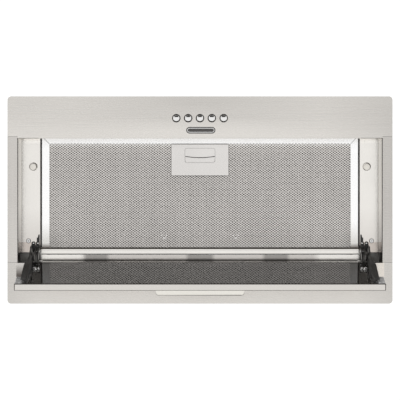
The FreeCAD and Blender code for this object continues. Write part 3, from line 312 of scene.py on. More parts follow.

# Seams of the filter's mitres, and painted shadow lines at its handle and its latch. An outline has
# its half length, its low and high edges, its corner radius and its height
MITRE_X = (216.45, 206.75)
MITRE_Y = ((-87.0, -77.3), (75.0, 65.3))
MITRE_HEIGHT = 54.15
MITRE_WIDTH = 0.42
HANDLE_SHADOW_LINE = ((-38.4, -76.7, 54.35), (38.4, -76.7, 54.35), 0.9)
PULL_OUTLINE = (20.69, -70.99, -51.11, 2.89, 54.6)
PULL_WIDTH = 0.2
LATCH_PLACES = range(-20, 21, 4)
LATCH_HALF = 20.5
LATCH_Y = -60.05
LATCH_BOW = 1.8
LATCH_HEIGHT = 55.3
LATCH_WIDTH = 0.8

# Painted shadow lines at the flap's free edge, drawn with the flap shut, and the way its end faces
# when open
EDGE_FACING = (0.0, -0.158, 0.987)
EDGE_HALF = 240.7
EDGE_Y = -77.2
EDGE_LOW = -4.0
EDGE_HIGH = 4.4
EDGE_END_HIGH = 4.6
EDGE_LOW_WIDTH = 0.5
EDGE_HIGH_WIDTH = 1.3
EDGE_END_WIDTH = 0.9
TAB_OUTLINE = (57.3, -10.4, 0.0, 3.4, 0.0)
TAB_Y = -76.6
TAB_WIDTH = 0.4

# Hem under the front of the ledge: places along X, and its outline in Y and Z
HEM_PLACES = (-217.8, -109.0, 0.0, 109.0, 217.8)
HEM_OUTLINE = ((67.15, 50.95), (67.3, 50.7), (68.7, 50.7), (68.9, 50.95))

# Nuts of the hinge arms, drawn with the flap shut: places along X with their sizes, and the rings
# of a nut with their radius and height
FIXING_SPOTS = ((220.6, 1.0), (215.5, 0.55))
FIXING_Y = 25.5
FIXING_STEPS = 20
FIXING_RINGS = ((3.8, 4.5), (3.8, 5.3), (2.7, 5.4), (2.6, 6.8), (2.0, 7.5), (0.9, 7.8))


def material(name):
    """New material, its node tree and its shader."""
    made = bpy.data.materials.new(name)
    made.use_nodes = True
    tree = made.node_tree
    return made, tree, tree.nodes["Principled BSDF"]


def maths(tree, operation, *values):
    """Result of a maths node on plain numbers and the results of other nodes."""
    node = tree.nodes.new("ShaderNodeMath")
    node.operation = operation
    for socket, value in zip(node.inputs, values):
        if isinstance(value, float):
            socket.default_value = value
        else:
            tree.links.new(value, socket)
    return node.outputs[0]


def product(tree, first, *others):
    """Two or more factors multiplied."""
    for other in others:
        first = maths(tree, "MULTIPLY", first, other)
    return first


def ranged(tree, value, start=0.0, end=1.0, low=0.0, high=1.0):
    """Bring a value between start and end to the range from low to high."""
    node = tree.nodes.new("ShaderNodeMapRange")
    for name, number in (("From Min", start), ("From Max", end), ("To Min", low), ("To Max", high)):
        node.inputs[name].default_value = number
    tree.links.new(value, node.inputs["Value"])
    return node.outputs["Result"]


def along(tree, axis, start, end, both_sides=False, output="Object"):
    """0 to 1 from start to end along one axis of the piece's own place, or of its normal."""
    place = tree.nodes.new("ShaderNodeTexCoord")
    parts = tree.nodes.new("ShaderNodeSeparateXYZ")
    tree.links.new(place.outputs[output], parts.inputs["Vector"])
    value = parts.outputs[axis]
    if both_sides:
        value = maths(tree, "ABSOLUTE", value)
    return ranged(tree, value, start, end)


def noise(tree, scale, detail, stretch=(1.0, 1.0, 1.0)):
    """Noise in the piece's own place, stretched along the axes."""
    place = tree.nodes.new("ShaderNodeTexCoord")
    mapping = tree.nodes.new("ShaderNodeMapping")
    mapping.inputs["Scale"].default_value = stretch
    texture = tree.nodes.new("ShaderNodeTexNoise")
    texture.inputs["Scale"].default_value = scale
    texture.inputs["Detail"].default_value = detail
    tree.links.new(place.outputs["Object"], mapping.inputs["Vector"])
    tree.links.new(mapping.outputs["Vector"], texture.inputs["Vector"])
    return texture.outputs["Fac"]


def tinted(tree, source, colour, low, high):
    """The colour, varied in brightness from low to high by a noise."""
    ramp = tree.nodes.new("ShaderNodeValToRGB")
    first, last = ramp.color_ramp.elements
    first.position = NOISE_LOW
    last.position = NOISE_HIGH
    first.color = [c * low for c in colour] + [1.0]
    last.color = [min(1.0, c * high) for c in colour] + [1.0]
    tree.links.new(source, ramp.inputs["Fac"])
    return ramp.outputs["Color"]


def paint(tree, shader, source, colour, swing):
    """Give the shader its colour, varied in brightness by a noise."""
    tree.links.new(tinted(tree, source, colour, *swing), shader.inputs["Base Color"])


def roughen(tree, shader, source, rough):
    """Give the shader its roughness, varied over a range by a noise."""
    tree.links.new(ranged(tree, source, NOISE_LOW, NOISE_HIGH, *rough), shader.inputs["Roughness"])


def bump(tree, shader, source, strength, distance):
    """Give the shader a slight relief."""
    node = tree.nodes.new("ShaderNodeBump")
    node.inputs["Strength"].default_value = strength
    node.inputs["Distance"].default_value = distance
    tree.links.new(source, node.inputs["Height"])
    tree.links.new(node.outputs["Normal"], shader.inputs["Normal"])


def toned(tree, factor, colour):
    """Mix the base colour towards a colour, or another node's result, where the factor is 1."""
    base = tree.nodes["Principled BSDF"].inputs["Base Color"]
    source = base.links[0].from_socket
    mix = tree.nodes.new("ShaderNodeMix")
    mix.data_type = "RGBA"
    tree.links.new(factor, mix.inputs["Factor"])
    tree.links.new(source, mix.inputs[MIX_BEFORE])
    if isinstance(colour, tuple):
        mix.inputs[MIX_AFTER].default_value = (*colour, 1.0)
    else:
        tree.links.new(colour, mix.inputs[MIX_AFTER])
    tree.links.new(mix.outputs[MIX_RESULT], base)


def gained(colour, gain):
    """The colour, brighter or duller."""
    return tuple(min(1.0, c * gain) for c in colour)


def brushed(name, colour):
    """Steel with a fine grain along one axis."""
    made, tree, shader = material(name)
    lines = noise(tree, GRAIN_SCALE, DETAIL_FINE, GRAIN_STRETCH)
    clouds = noise(tree, CLOUD_SCALE, DETAIL_SOFT)
    mixed = maths(tree, "MULTIPLY_ADD", lines, GRAIN_SHARE, product(tree, clouds, CLOUD_SHARE))
    paint(tree, shader, mixed, colour, BRUSHED_SWING)
    roughen(tree, shader, lines, BRUSHED_ROUGH)
    bump(tree, shader, lines, GRAIN_DEPTH, GRAIN_STEP)
    shader.inputs["Metallic"].default_value = 1.0
    shader.inputs["Anisotropic"].default_value = GRAIN_GLOSS_STRETCH
    return made


def sheet_metal(name, colour, rough=SHEET_ROUGH, depth=SHEET_DEPTH):
    """Smooth bright sheet, very slightly uneven."""
    made, tree, shader = material(name)
    waves = noise(tree, WAVE_SCALE, DETAIL_SOFT)
    paint(tree, shader, waves, colour, SHEET_SWING)
    roughen(tree, shader, noise(tree, SPECK_SCALE, DETAIL_SOFT), rough)
    bump(tree, shader, waves, depth, WAVE_STEP)
    shader.inputs["Metallic"].default_value = 1.0
    return made


def zinc(name, colour):
    """Zinc coat with its crystal pattern."""
    made, tree, shader = material(name)
    place = tree.nodes.new("ShaderNodeTexCoord")
    cells = tree.nodes.new("ShaderNodeTexVoronoi")
    cells.inputs["Scale"].default_value = CRYSTAL_SCALE
    tree.links.new(place.outputs["Object"], cells.inputs["Vector"])
    grey = tree.nodes.new("ShaderNodeRGBToBW")
    tree.links.new(cells.outputs["Color"], grey.inputs["Color"])
    paint(tree, shader, grey.outputs["Val"], colour, ZINC_SWING)
    roughen(tree, shader, grey.outputs["Val"], ZINC_ROUGH)
    shader.inputs["Metallic"].default_value = 1.0
    return made


def moulded(name, colour, rough=PORE_ROUGH, depth=PORE_DEPTH):
    """Moulded plastic or paint with a fine texture."""
    made, tree, shader = material(name)
    pores = noise(tree, PORE_SCALE, DETAIL_FINE)
    paint(tree, shader, pores, colour, PORE_SWING)
    roughen(tree, shader, pores, rough)
    bump(tree, shader, pores, depth, PORE_STEP)
    return made


def seam_and_shadow_look(name, colour):
    """Dark and nearly without gloss, for seams and for painted shadow lines."""
    made = moulded(name, colour, SEAM_ROUGH)
    shader = made.node_tree.nodes["Principled BSDF"]
    shader.inputs["Specular IOR Level"].default_value = SEAM_GLOSS
    return made


def black_panel(name, colour):
    """Glossy black panel, clean, with faint smears in its gloss."""
    made, tree, shader = material(name)
    smears = noise(tree, SMEAR_SCALE, DETAIL_FINE, SMEAR_STRETCH)
    paint(tree, shader, smears, colour, SMEAR_SWING)
    roughen(tree, shader, smears, SMEAR_ROUGH)
    shader.inputs["IOR"].default_value = GLASS_IOR
    shader.inputs["Specular Tint"].default_value = (*GLASS_TINT, 1.0)
    return made


def side_steel(name, colour):
    """Brushed steel with painted shade, a little duller towards the right end of the hood."""
    made = brushed(name, colour)
    tree = made.node_tree
    toned(tree, along(tree, "X", *RIGHT_RANGE), gained(colour, RIGHT_GAIN))
    return made


def front_steel(name, colour):
    """Brushed steel with a painted highlight towards the opening and painted shade in the middle of
    its front edge.
    """
    made = side_steel(name, colour)
    tree = made.node_tree
    near = product(tree, along(tree, "Y", *FRONT_RANGE), along(tree, "X", *reversed(RIGHT_RANGE)))
    toned(tree, near, gained(colour, FRONT_GAIN))
    middle = product(tree, along(tree, "X", *FRONT_MIDDLE_X, True),
                     along(tree, "Y", *FRONT_MIDDLE_Y))
    toned(tree, middle, gained(colour, MIDDLE_GAIN))
    return made


def rear_steel(name, colour):
    """Brushed steel with painted shade at its ends, a painted shadow patch beside the left hinge
    and a painted highlight patch beside the right.
    """
    made = brushed(name, colour)
    tree = made.node_tree
    toned(tree, along(tree, "X", *REAR_ENDS_RANGE, True), gained(colour, REAR_ENDS_GAIN))
    ended = along(tree, "Y", *PATCH_END)
    left, right = [product(tree, along(tree, "X", *first), along(tree, "X", *second))
                   for first, second in (PATCH_LEFT, PATCH_RIGHT)]
    shaded = product(tree, along(tree, "Y", *PATCH_Y), ended)
    toned(tree, product(tree, left, shaded), PATCH_SHADOW_COLOUR)
    toned(tree, product(tree, right, ended), PATCH_HIGHLIGHT_COLOUR)
    return made


def panel_steel(name, colour):
    """Bright sheet with painted highlights at its fold and front, painted shade towards and at its
    rear end, and darker, browner painted shade on the walls by the way they face.
    """
    made = sheet_metal(name, colour)
    tree = made.node_tree
    toned(tree, along(tree, "X", *DECK_FOLD_RANGE, True), gained(colour, DECK_GAIN))
    toned(tree, along(tree, "Y", *DECK_FRONT_RANGE), gained(colour, DECK_FRONT_GAIN))
    shade = along(tree, "Y", *DECK_SHADE_RANGE)
    toned(tree, product(tree, shade, DECK_SHADE), DECK_SHADE_COLOUR)
    toned(tree, along(tree, "Y", *DECK_END_RANGE), DECK_END_SHADE_COLOUR)
    wall = along(tree, "X", *WALL_FACING, True, "Normal")
    toned(tree, wall, WALL_FACING_SHADE_COLOUR)
    toned(tree, product(tree, wall, shade), WALL_SHADE_COLOUR)
    return made


def ledge_steel(name, colour):
    """Bright sheet whose rear strip has painted shade between its ends, with darker patches of
    painted shade.
    """
    made = sheet_metal(name, colour)
    tree = made.node_tree
    rear = along(tree, "Y", *STRIP_REAR_RANGE)
    middle = along(tree, "X", *STRIP_MIDDLE_RANGE, True)
    toned(tree, product(tree, middle, rear), STRIP_SHADE_COLOUR)
    for centre, half in STRIP_SHADE_PATCHES:
        left = along(tree, "X", centre - half, centre - half + STRIP_PATCH_SOFT)
        right = along(tree, "X", centre + half, centre + half - STRIP_PATCH_SOFT)
        toned(tree, product(tree, left, right, rear), gained(STRIP_SHADE_COLOUR, STRIP_PATCH_GAIN))
    return made


def filter_steel(name, colour):
    """Bright rails of the filter, the side ones shaded towards the rear."""
    made = sheet_metal(name, colour, FILTER_ROUGH, SMOOTH_DEPTH)
    tree = made.node_tree
    side = along(tree, "X", *FILTER_SIDE_RANGE, True)
    for place, shade in FILTER_SHADES:
        toned(tree, product(tree, side, along(tree, "Y", *place)), shade)
    return made


def net_steel(name, colour):
    """Net with a painted highlight along the filter's front rail."""
    made = sheet_metal(name, colour, NET_ROUGH)
    tree = made.node_tree
    toned(tree, along(tree, "Y", *NET_EDGE_RANGE), NET_EDGE_HIGHLIGHT_COLOUR)
    return made


def flap_steel(name, colour):
    """Brushed steel, mottled where the tray's corners were pressed."""
    made = brushed(name, colour)
    tree = made.node_tree
    spots = tinted(tree, noise(tree, MOTTLE_SCALE, DETAIL_SHARP), colour, *MOTTLE_SWING)
    corner = product(tree, along(tree, "X", *CORNER_RANGE, True),
                     along(tree, "Y", *CORNER_FACING, False, "Normal"))
    toned(tree, corner, spots)
    metallic = ranged(tree, corner, low=1.0, high=MOTTLE_METALLIC)
    tree.links.new(metallic, tree.nodes["Principled BSDF"].inputs["Metallic"])
    return made


def make_materials():
    """The looks: each with its colour, and where it differs, its roughness and relief."""
    return {
        "fascia": rear_steel("fascia_steel", FASCIA_COLOUR),
        "side_rail": side_steel("side_rail_steel", SIDE_RAIL_COLOUR),
        "front": front_steel("fascia_front_steel", FASCIA_COLOUR),
        "recess": sheet_metal("recess_steel", RECESS_COLOUR),
        "ledge": ledge_steel("ledge_steel", RECESS_COLOUR),
        "panel": panel_steel("panel_steel", RECESS_COLOUR),
        "flap": flap_steel("flap_steel", FASCIA_COLOUR),
        "seam": seam_and_shadow_look("seam_and_shadow_dark", SEAM_AND_SHADOW_COLOUR),
        "soft_shadow": seam_and_shadow_look("shadow_line_soft", SOFT_SHADOW_COLOUR),
        "tab": brushed("tab_steel", TAB_COLOUR),
        "filter": filter_steel("filter_aluminium", FILTER_COLOUR),
        "net": net_steel("net_aluminium", NET_COLOUR),
        "net_back": sheet_metal("net_back_aluminium", NET_BACK_SHADE_COLOUR, NET_BACK_ROUGH),
        "handle": sheet_metal("handle_plate", HANDLE_COLOUR, HANDLE_ROUGH, SMOOTH_DEPTH),
        "zinc": zinc("casing_zinc", ZINC_COLOUR),
        "chrome": sheet_metal("polished_chrome", CHROME_COLOUR, CHROME_ROUGH, CHROME_DEPTH),
        "bright": sheet_metal("bright_fastener", CHROME_COLOUR, FASTENER_ROUGH),
        "hinge": moulded("hinge_black", HINGE_COLOUR, HINGE_ROUGH, HINGE_DEPTH),
        "glass": black_panel("flap_glass", GLASS_COLOUR),
        "field": moulded("badge_field", FIELD_COLOUR, SATIN_ROUGH),
        "clamp": moulded("clamp_plated", CLAMP_COLOUR, CLAMP_ROUGH),
        "plug": sheet_metal("plug_cap", PLUG_COLOUR, SATIN_ROUGH),
        "wheel": moulded("wheel_plastic", WHEEL_COLOUR),
        "motor": moulded("motor_paint", MOTOR_COLOUR, SATIN_ROUGH),
        "box": moulded("box_plastic", BOX_COLOUR),
        "strip": moulded("strip_plastic", TERMINAL_COLOUR),
    }


# Look of each node of the solid model
DRESSING = {
    "fascia": ["fascia_rear_rail"],
    "side_rail": ["fascia_left_rail", "fascia_right_rail"],
    "front": ["fascia_front_rail"],
    "flap": ["flap_skin"],
    "panel": ["recess_left_panel", "recess_right_panel"],
    "tab": ["flap_tab"],
    "recess": ["recess_front_wall"],
    "ledge": ["recess_rear_ledge"],
    "filter": ["filter_front_rail", "filter_rear_rail", "filter_side_rails"],
    "net": ["filter_mesh"],
    "handle": ["filter_handle", "filter_latch"],
    "zinc": ["casing_front", "casing_rear", "casing_left", "casing_right", "casing_top",
             "upper_box", "upper_box_lid", "duct_collar", "motor_bracket",
             "scroll_left", "scroll_right"],
    "chrome": ["button_1", "button_2", "button_3", "button_4", "button_5"],
    "bright": ["casing_screws", "hinge_pins", "hinge_screws", "clamp_screws", "damper_pin",
               "motor_shaft"],
    "hinge": ["hinge_bracket_left", "hinge_bracket_right", "hinge_arm_left", "hinge_arm_right",
              "hinge_stay_left", "hinge_stay_right"],
    "seam": ["button_rings"],
    "glass": ["flap_glass"],
    "clamp": ["clamp_claw_left", "clamp_claw_right"],
    "plug": ["clamp_plugs"],
    "wheel": ["blower_wheel", "damper_front", "damper_rear"],
    "motor": ["motor", "capacitor"],
    "box": ["terminal_box", "terminal_cover", "cable_gland", "switch_bank", "control_tray"],
    "strip": ["terminal_strip"],
}


def dress(piece, made):
    """Give a piece one look."""
    piece.data.materials.clear()
    piece.data.materials.append(made)


def mesh_piece(name, vertices, faces, made, body, smooth=False):
    """New piece from vertices and faces, with its look and the body that it rides."""
    data = bpy.data.meshes.new(name)
    data.from_pydata(vertices, [], faces)
    data.update()
    piece = bpy.data.objects.new(name, data)
    bpy.context.scene.collection.objects.link(piece)
    dress(piece, made)
    for face in data.polygons:
        face.use_smooth = smooth
    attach(piece, body)
    return piece


def bands(first, rings, count):
    """Faces between rings of equally many vertices, which follow each other from the first one."""
    faces = []
    for ring in range(rings - 1):
        for i in range(count):
            a = first + ring * count + i
            b = first + ring * count + (i + 1) % count
            faces.append((a, b, b + count, a + count))
    return faces


def net_layer(name, scale, hole_share, level, made, low, high, handle_high):
    """Expanded sheet: diamonds in staggered rows, each with its hole, and strands that twist."""
    pitch_x = NET_PITCH_X * scale
    pitch_y = NET_PITCH_Y * scale
    vertices = []
    index = {}
    faces = []

    def vertex(x, y, z):
        """Number of the vertex at a place, added if it is new."""
        key = tuple(round(value * NET_ROUNDING) for value in (x, y, z))
        if key not in index:
            index[key] = len(vertices)
            vertices.append((x, y, z))
        return index[key]

    rows = int((high.y - low.y) / (pitch_y / 2)) - 1
    columns = int((high.x - low.x) / pitch_x)
    middle_x = (low.x + high.x) / 2
    reach = (high.x - low.x) / 2 - pitch_x / 2
    start_y = (low.y + high.y) / 2 - rows * pitch_y / 4
    for row in range(rows + 1):
        y = start_y + row * pitch_y / 2
        for column in range(-columns // 2, columns // 2 + 1):
            x = middle_x + (column + (row % 2) / 2) * pitch_x
            behind_handle = y < handle_high.y and abs(x) < handle_high.x
            if behind_handle or abs(x - middle_x) > reach:
                continue
            outer = [(x - pitch_x / 2, y), (x, y - pitch_y / 2),
                     (x + pitch_x / 2, y), (x, y + pitch_y / 2)]
            wave = sum(math.sin(x * rate + shift) for rate, shift in NET_WAVES)
            share = hole_share - NET_UNEVEN_SHARE * wave / 2
            inner = [(x + (a - x) * share, y + (b - y) * share) for a, b in outer]
            ring = [vertex(a, b, level) for a, b in outer]
            hole = [vertex(a, b, level + (NET_TWIST if b < y else -NET_TWIST)) for a, b in inner]
            for corner in range(4):
                after = (corner + 1) % 4
                faces.append((ring[corner], ring[after], hole[after], hole[corner]))
    return mesh_piece(name, vertices, faces, made, "filter")


def make_net(made, back_made):
    """Two layers of net in place of the filter's plain sheet."""
    low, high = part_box("filter_mesh")
    handle_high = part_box("filter_handle")[1]
    low = Vector((low.x + NET_INSET, low.y + NET_INSET, low.z))
    high = Vector((high.x - NET_INSET, high.y - NET_INSET, high.z))
    level = low.z + NET_LEVEL
    back_level = level + NET_LAYER_GAP
    layers = (("filter_net_lower", 1.0, NET_HOLE_SHARE, level, made),
              ("filter_net_upper", NET_BACK_SCALE, NET_BACK_HOLE_SHARE, back_level, back_made))
    for layer in layers:
        piece = net_layer(*layer, low, high, handle_high)
        thick = piece.modifiers.new("thickness", "SOLIDIFY")
        thick.thickness = NET_SHEET
        if layer is layers[0]:
            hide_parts("filter_mesh")


def pill(length, height):
    """Outline of a plate with round ends, round its centre."""
    radius = height / 2
    straight = length / 2 - radius
    points = []
    for side, first in ((1, -90.0), (-1, 90.0)):
        for step in range(BADGE_END_STEPS + 1):
            angle = math.radians(first + 180.0 * step / BADGE_END_STEPS)
            points.append((side * straight + radius * math.cos(angle), radius * math.sin(angle)))
    return points


def ring_band(name, rings, made):
    """Closed band through outlines of the same number of points, each with its height."""
    vertices = [(BADGE_CENTRE_X + x, BADGE_CENTRE_Y + y, z)
                for outline, z in rings for x, y in outline]
    mesh_piece(name, vertices, bands(0, len(rings), len(rings[0][0])), made, "root")


def make_badge(rim_material, line_material, field_material):
    """Plain plate with round ends: black rim, thin bright line and a dark field."""
    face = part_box("fascia_front_rail")[0].z
    top = face - BADGE_PROUD
    floor = face - BADGE_PROUD / 2
    raised = floor - BADGE_PROUD / 4
    insets = (0.0, BADGE_RIM / 2, 2 * BADGE_RIM, 2 * BADGE_RIM + 2 * BADGE_LINE)
    outer, shoulder, inner, line = [pill(BADGE_LENGTH - inset, BADGE_HEIGHT - inset)
                                    for inset in insets]
    rim = [(outer, face), (outer, top + BADGE_PROUD / 4), (shoulder, top), (inner, top),
           (inner, floor)]
    ring_band("badge_rim", rim, rim_material)
    rings = [(inner, floor), (inner, raised), (line, raised), (line, floor)]
    ring_band("badge_line", rings, line_material)
    vertices = [(BADGE_CENTRE_X + x, BADGE_CENTRE_Y + y, floor) for x, y in line]
    faces = [tuple(range(len(line)))]
    mesh_piece("badge_plate", vertices, faces, field_material, "root")


def bead(name, lines, made, body):
    """Strands in one piece. Each line has its points, its width and the way its surface faces."""
    vertices = []
    faces = []
    for points, width, facing in lines:
        spots = [Vector(point) * MILLIMETRE for point in points]
        closed = (spots[0] - spots[-1]).length < TOUCH
        if closed:
            spots.pop()
        count = len(spots)
        first = len(vertices)
        reach = width * MILLIMETRE / 2
        for i, spot in enumerate(spots):
            before = spots[i - 1] if closed or i else spot
            after = spots[(i + 1) % count] if closed or i < count - 1 else spot
            run = (after - before).normalized()
            edge = after - spot if i < count - 1 or closed else spot - before
            across = run.cross(Vector(facing)).normalized()
            stretch = 1.0 / max(SHARPEST_TURN, run.dot(edge.normalized()))
            for corner in range(STRAND_SIDES):
                angle = 2 * math.pi * corner / STRAND_SIDES
                vertices.append(spot + across * (reach * stretch * math.cos(angle))
                                + Vector(facing) * (reach * math.sin(angle)))
        for i in range(count if closed else count - 1):
            here = first + i * STRAND_SIDES
            there = first + (i + 1) % count * STRAND_SIDES
            for corner in range(STRAND_SIDES):
                other = (corner + 1) % STRAND_SIDES
                faces.append((here + corner, here + other, there + other, there + corner))
        if not closed:
            last = first + (count - 1) * STRAND_SIDES
            faces.append(tuple(first + corner for corner in reversed(range(STRAND_SIDES))))
            faces.append(tuple(last + corner for corner in range(STRAND_SIDES)))
    mesh_piece(name, vertices, faces, made, body)


def arc(centre, radius, start, end, steps):
    """Points of an arc in plan, from one angle to another."""
    x, y, z = centre
    points = []
    for step in range(steps + 1):
        angle = math.radians(start + (end - start) * step / steps)
        points.append((x + radius * math.cos(angle), y + radius * math.sin(angle), z))
    return points


def opened(x, y, z):
    """A point drawn with the flap shut, turned to where the open flap has it."""
    angle = math.radians(FLAP_ANGLE)
    across = y - FLAP_PIVOT[0]
    up = z - FLAP_PIVOT[1]
    return (x, FLAP_PIVOT[0] + across * math.cos(angle) - up * math.sin(angle),
            FLAP_PIVOT[1] + across * math.sin(angle) + up * math.cos(angle))


def rounded(half, low, high, radius, height):
    """Closed outline of a rounded rectangle in plan."""
    points = []
    side, near, far = half - radius, low + radius, high - radius
    for turn, (x, y) in enumerate(((side, near), (side, far), (-side, far), (-side, near))):
        start = 90.0 * (turn - 1)
        points += arc((x, y, height), radius, start, start + 90.0, OUTLINE_CORNER_STEPS)
    return points + points[:1]


def straight_line(first, last, width, side=1):
    """Straight line for a bead, given for the right side; side -1 puts it at the left."""
    return [(side * x, y, z) for x, y, z in (first, last)], width, UP


def round_line(centre, radius, start, end, steps, width, side=1):
    """Round line for a bead, with its centre given for the right side."""
    x, y, z = centre
    return arc((side * x, y, z), radius, start, end, steps), width, UP


def fixed_seams_and_shadows():
    """Seams between the fixed sheets, painted shadow lines along their edges and folds, and the two
    screws in the deck.
    """
    lines = [straight_line(*seam) for seam in LONG_SHADOW_LINES]
    for side in (-1, 1):
        lines += [straight_line(*seam, side) for seam in SIDE_SEAMS_AND_SHADOW_LINES]
        lines.append(round_line(*SCREW_RING, side))
        x, y = side * CROSS_CENTRE[0], CROSS_CENTRE[1]
        for slope in (1, -1):
            ends = [(x + reach, y + slope * reach, CROSS_HEIGHT)
                    for reach in (-CROSS_REACH, CROSS_REACH)]
            lines.append((ends, CROSS_WIDTH, UP))
    return lines


def filter_seams_and_shadows():
    """Painted shadow lines round the handle plate and its finger pull, and seams at the filter's
    mitres.
    """
    lines = [straight_line(*HANDLE_SHADOW_LINE), (rounded(*PULL_OUTLINE), PULL_WIDTH, UP)]
    for side in (-1, 1):
        for ys in MITRE_Y:
            ends = [(x, y, MITRE_HEIGHT) for x, y in zip(MITRE_X, ys)]
            lines.append(straight_line(*ends, MITRE_WIDTH, side))
    return lines


def flap_shadow_lines():
    """Painted shadow lines along the flap's free edge, at the edge's ends and round the finger tab.
    """
    halves = (-EDGE_HALF, EDGE_HALF)
    edge = [opened(x, EDGE_Y, EDGE_LOW) for x in halves]
    inner = [opened(x, EDGE_Y, EDGE_HIGH) for x in halves]
    tab = [opened(x, TAB_Y, y) for x, y, height in rounded(*TAB_OUTLINE) if y < EDGE_LOW]
    tab.sort(key=lambda point: point[0])
    lines = [(edge, EDGE_LOW_WIDTH, EDGE_FACING), (inner, EDGE_HIGH_WIDTH, EDGE_FACING),
             (tab, TAB_WIDTH, EDGE_FACING)]
    for x in halves:
        ends = [opened(x, EDGE_Y, z) for z in (EDGE_END_HIGH, EDGE_LOW)]
        lines.append((ends, EDGE_END_WIDTH, EDGE_FACING))
    return lines


def make_seams_and_shadows(made, soft):
    """Seams and painted shadow lines, one piece for each body and look."""
    bead("seams_and_shadows_fixed", fixed_seams_and_shadows(), made, "root")
    plugs = [straight_line(*RAIL_EDGE)]
    plugs += [round_line(*ring, side) for side in (-1, 1) for ring in PLUG_RINGS]
    bead("shadow_lines_plugs", plugs, soft, "root")
    bead("seams_and_shadows_filter", filter_seams_and_shadows(), made, "filter")
    # Painted shadow line along the latch's bowed rear edge
    bow = [(x, LATCH_Y + LATCH_BOW * (1.0 - (x / LATCH_HALF) ** 2), LATCH_HEIGHT)
           for x in LATCH_PLACES]
    bead("latch_edge", [(bow, LATCH_WIDTH, UP)], made, "latch")
    bead("shadow_lines_flap", flap_shadow_lines(), made, "flap")


def make_hem(made):
    """Flat hem along the front of the ledge, folded under it."""
    vertices = [Vector((x, y, z)) * MILLIMETRE for x in HEM_PLACES for y, z in HEM_OUTLINE]
    count = len(HEM_OUTLINE)
    faces = [tuple(range(count)), tuple(reversed(range(len(vertices) - count, len(vertices))))]
    faces += [(a, d, c, b) for a, b, c, d in bands(0, len(HEM_PLACES), count)]
    mesh_piece("ledge_hem", vertices, faces, made, "root")


def make_fixings(made):
    """Bright domed nuts on washers at each side of the flap, a large one and a small one."""
    vertices = []
    faces = []
    for side, (middle, size) in [(side, spot) for side in (-1, 1) for spot in FIXING_SPOTS]:
        first = len(vertices)
        for radius, height in FIXING_RINGS:
            for step in range(FIXING_STEPS):
                angle = 2 * math.pi * step / FIXING_STEPS
                place = opened(side * middle + size * radius * math.cos(angle),
                               FIXING_Y + size * radius * math.sin(angle), height)
                vertices.append(Vector(place) * MILLIMETRE)
        faces += bands(first, len(FIXING_RINGS), FIXING_STEPS)
        last = first + (len(FIXING_RINGS) - 1) * FIXING_STEPS
        faces.append(tuple(range(last, last + FIXING_STEPS)))
        faces.append(tuple(first + step for step in reversed(range(FIXING_STEPS))))
    mesh_piece("flap_fixings", vertices, faces, made, "flap", True)


def make_domes(made):
    """Slightly domed faces of the push buttons."""
    for number in range(1, BUTTONS + 1):
        low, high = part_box(f"button_{number}")
        middle = (low + high) / 2
        top = low.z - DOME_PROUD
        radii = [DOME_RADIUS * share for share in DOME_SHARES]
        levels = [(radius, top + radius * radius / (2 * DOME_CURVE)) for radius in radii]
        levels.append((DOME_RADIUS, levels[-1][1] + DOME_SKIRT))
        vertices = [(middle.x, middle.y, top)]
        for radius, height in levels:
            for step in range(DOME_STEPS):
                angle = 2 * math.pi * step / DOME_STEPS
                vertices.append((middle.x + radius * math.cos(angle),
                                 middle.y + radius * math.sin(angle), height))
        faces = [(0, 1 + (step + 1) % DOME_STEPS, 1 + step) for step in range(DOME_STEPS)]
        faces += bands(1, len(levels), DOME_STEPS)
        mesh_piece(f"button_dome_{number}", vertices, faces, made, f"button_{number}",
                   True)


def seen_by(tree, *kinds):
    """1 for rays of the named kinds, and 0 for the others."""
    rays = tree.nodes.new("ShaderNodeLightPath")
    result = rays.outputs[kinds[0]]
    for kind in kinds[1:]:
        result = maths(tree, "MAXIMUM", result, rays.outputs[kind])
    return result


def make_world():
    """White world, brighter in mirrors and in the picture than as soft light."""
    world = bpy.data.worlds.new("studio")
    bpy.context.scene.world = world
    world.use_nodes = True
    tree = world.node_tree
    background = tree.nodes["Background"]
    background.inputs["Color"].default_value = (1.0, 1.0, 1.0, 1.0)
    seen = seen_by(tree, *MIRROR_RAYS, "Is Camera Ray")
    strength = ranged(tree, seen, low=WORLD_SOFT, high=WORLD_MIRRORED)
    tree.links.new(strength, background.inputs["Strength"])


def make_floor():
    """Plain pale floor, which mirrors see as bright as the world."""
    bpy.ops.mesh.primitive_plane_add(size=FLOOR_SIZE, location=(0.0, 0.0, FLOOR_HEIGHT))
    floor = bpy.context.object
    floor.name = "floor"
    made, tree, shader = material("floor_pale")
    shader.inputs["Base Color"].default_value = (*FLOOR_COLOUR, 1.0)
    shader.inputs["Roughness"].default_value = FLOOR_ROUGH
    glow = tree.nodes.new("ShaderNodeEmission")
    glow.inputs["Strength"].default_value = WORLD_MIRRORED
    mix = tree.nodes.new("ShaderNodeMixShader")
    tree.links.new(seen_by(tree, *MIRROR_RAYS), mix.inputs["Fac"])
    tree.links.new(shader.outputs["BSDF"], mix.inputs[1])
    tree.links.new(glow.outputs["Emission"], mix.inputs[2])
    tree.links.new(mix.outputs["Shader"], tree.nodes["Material Output"].inputs["Surface"])
    dress(floor, made)


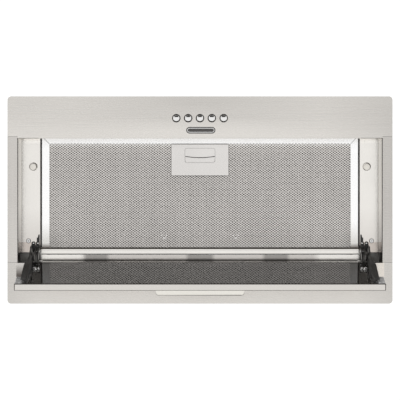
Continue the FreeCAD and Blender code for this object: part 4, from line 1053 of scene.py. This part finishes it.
def make_card():
    """Dark card in front of the hood. Only mirroring surfaces see it."""
    low, high = CARD_LINE
    corners = [(-CARD_HALF_WIDTH, *low), (CARD_HALF_WIDTH, *low),
               (CARD_HALF_WIDTH, *high), (-CARD_HALF_WIDTH, *high)]
    data = bpy.data.meshes.new("card")
    data.from_pydata(corners, [], [(0, 1, 2, 3)])
    card = bpy.data.objects.new("card", data)
    bpy.context.scene.collection.objects.link(card)
    made, tree, shader = material("card_dark")
    shader.inputs["Base Color"].default_value = (*CARD_COLOUR, 1.0)
    shader.inputs["Roughness"].default_value = 1.0
    dress(card, made)
    card.visible_camera = False
    card.visible_diffuse = False
    card.visible_shadow = False


def make_lamp(name, place, size, watts):
    """Soft square lamp that faces the hood."""
    lamp = bpy.data.lights.new(name, "AREA")
    lamp.shape = "SQUARE"
    lamp.size = size
    lamp.energy = watts
    holder = bpy.data.objects.new(name, lamp)
    holder.location = place
    aim = Vector(LAMP_AIM) - Vector(place)
    holder.rotation_euler = aim.to_track_quat("-Z", "Y").to_euler()
    holder.visible_glossy = False
    bpy.context.scene.collection.objects.link(holder)


def make_camera():
    """Camera that looks straight up at the hood."""
    data = bpy.data.cameras.new("camera")
    data.sensor_width = SENSOR_WIDTH
    data.lens = FOCAL_PIXELS / IMAGE_WIDTH * SENSOR_WIDTH
    data.clip_end = 2 * FLOOR_SIZE
    camera = bpy.data.objects.new("camera", data)
    camera.location = (0.0, 0.0, -CAMERA_DISTANCE)
    camera.rotation_euler = (math.pi, 0.0, 0.0)
    bpy.context.scene.collection.objects.link(camera)
    bpy.context.scene.camera = camera


def main():
    """Set the stage, dress the nodes and add the pieces made here."""
    make_camera()
    make_world()
    make_floor()
    make_card()
    for lamp in LAMPS:
        make_lamp(*lamp)
    looks = make_materials()
    for look, nodes in DRESSING.items():
        for node in nodes:
            dress(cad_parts[node], looks[look])
    make_net(looks["net"], looks["net_back"])
    make_badge(looks["hinge"], looks["bright"], looks["field"])
    make_seams_and_shadows(looks["seam"], looks["soft_shadow"])
    make_hem(looks["recess"])
    make_fixings(looks["bright"])
    make_domes(looks["chrome"])
    bpy.context.scene.view_settings.view_transform = "Standard"


main()
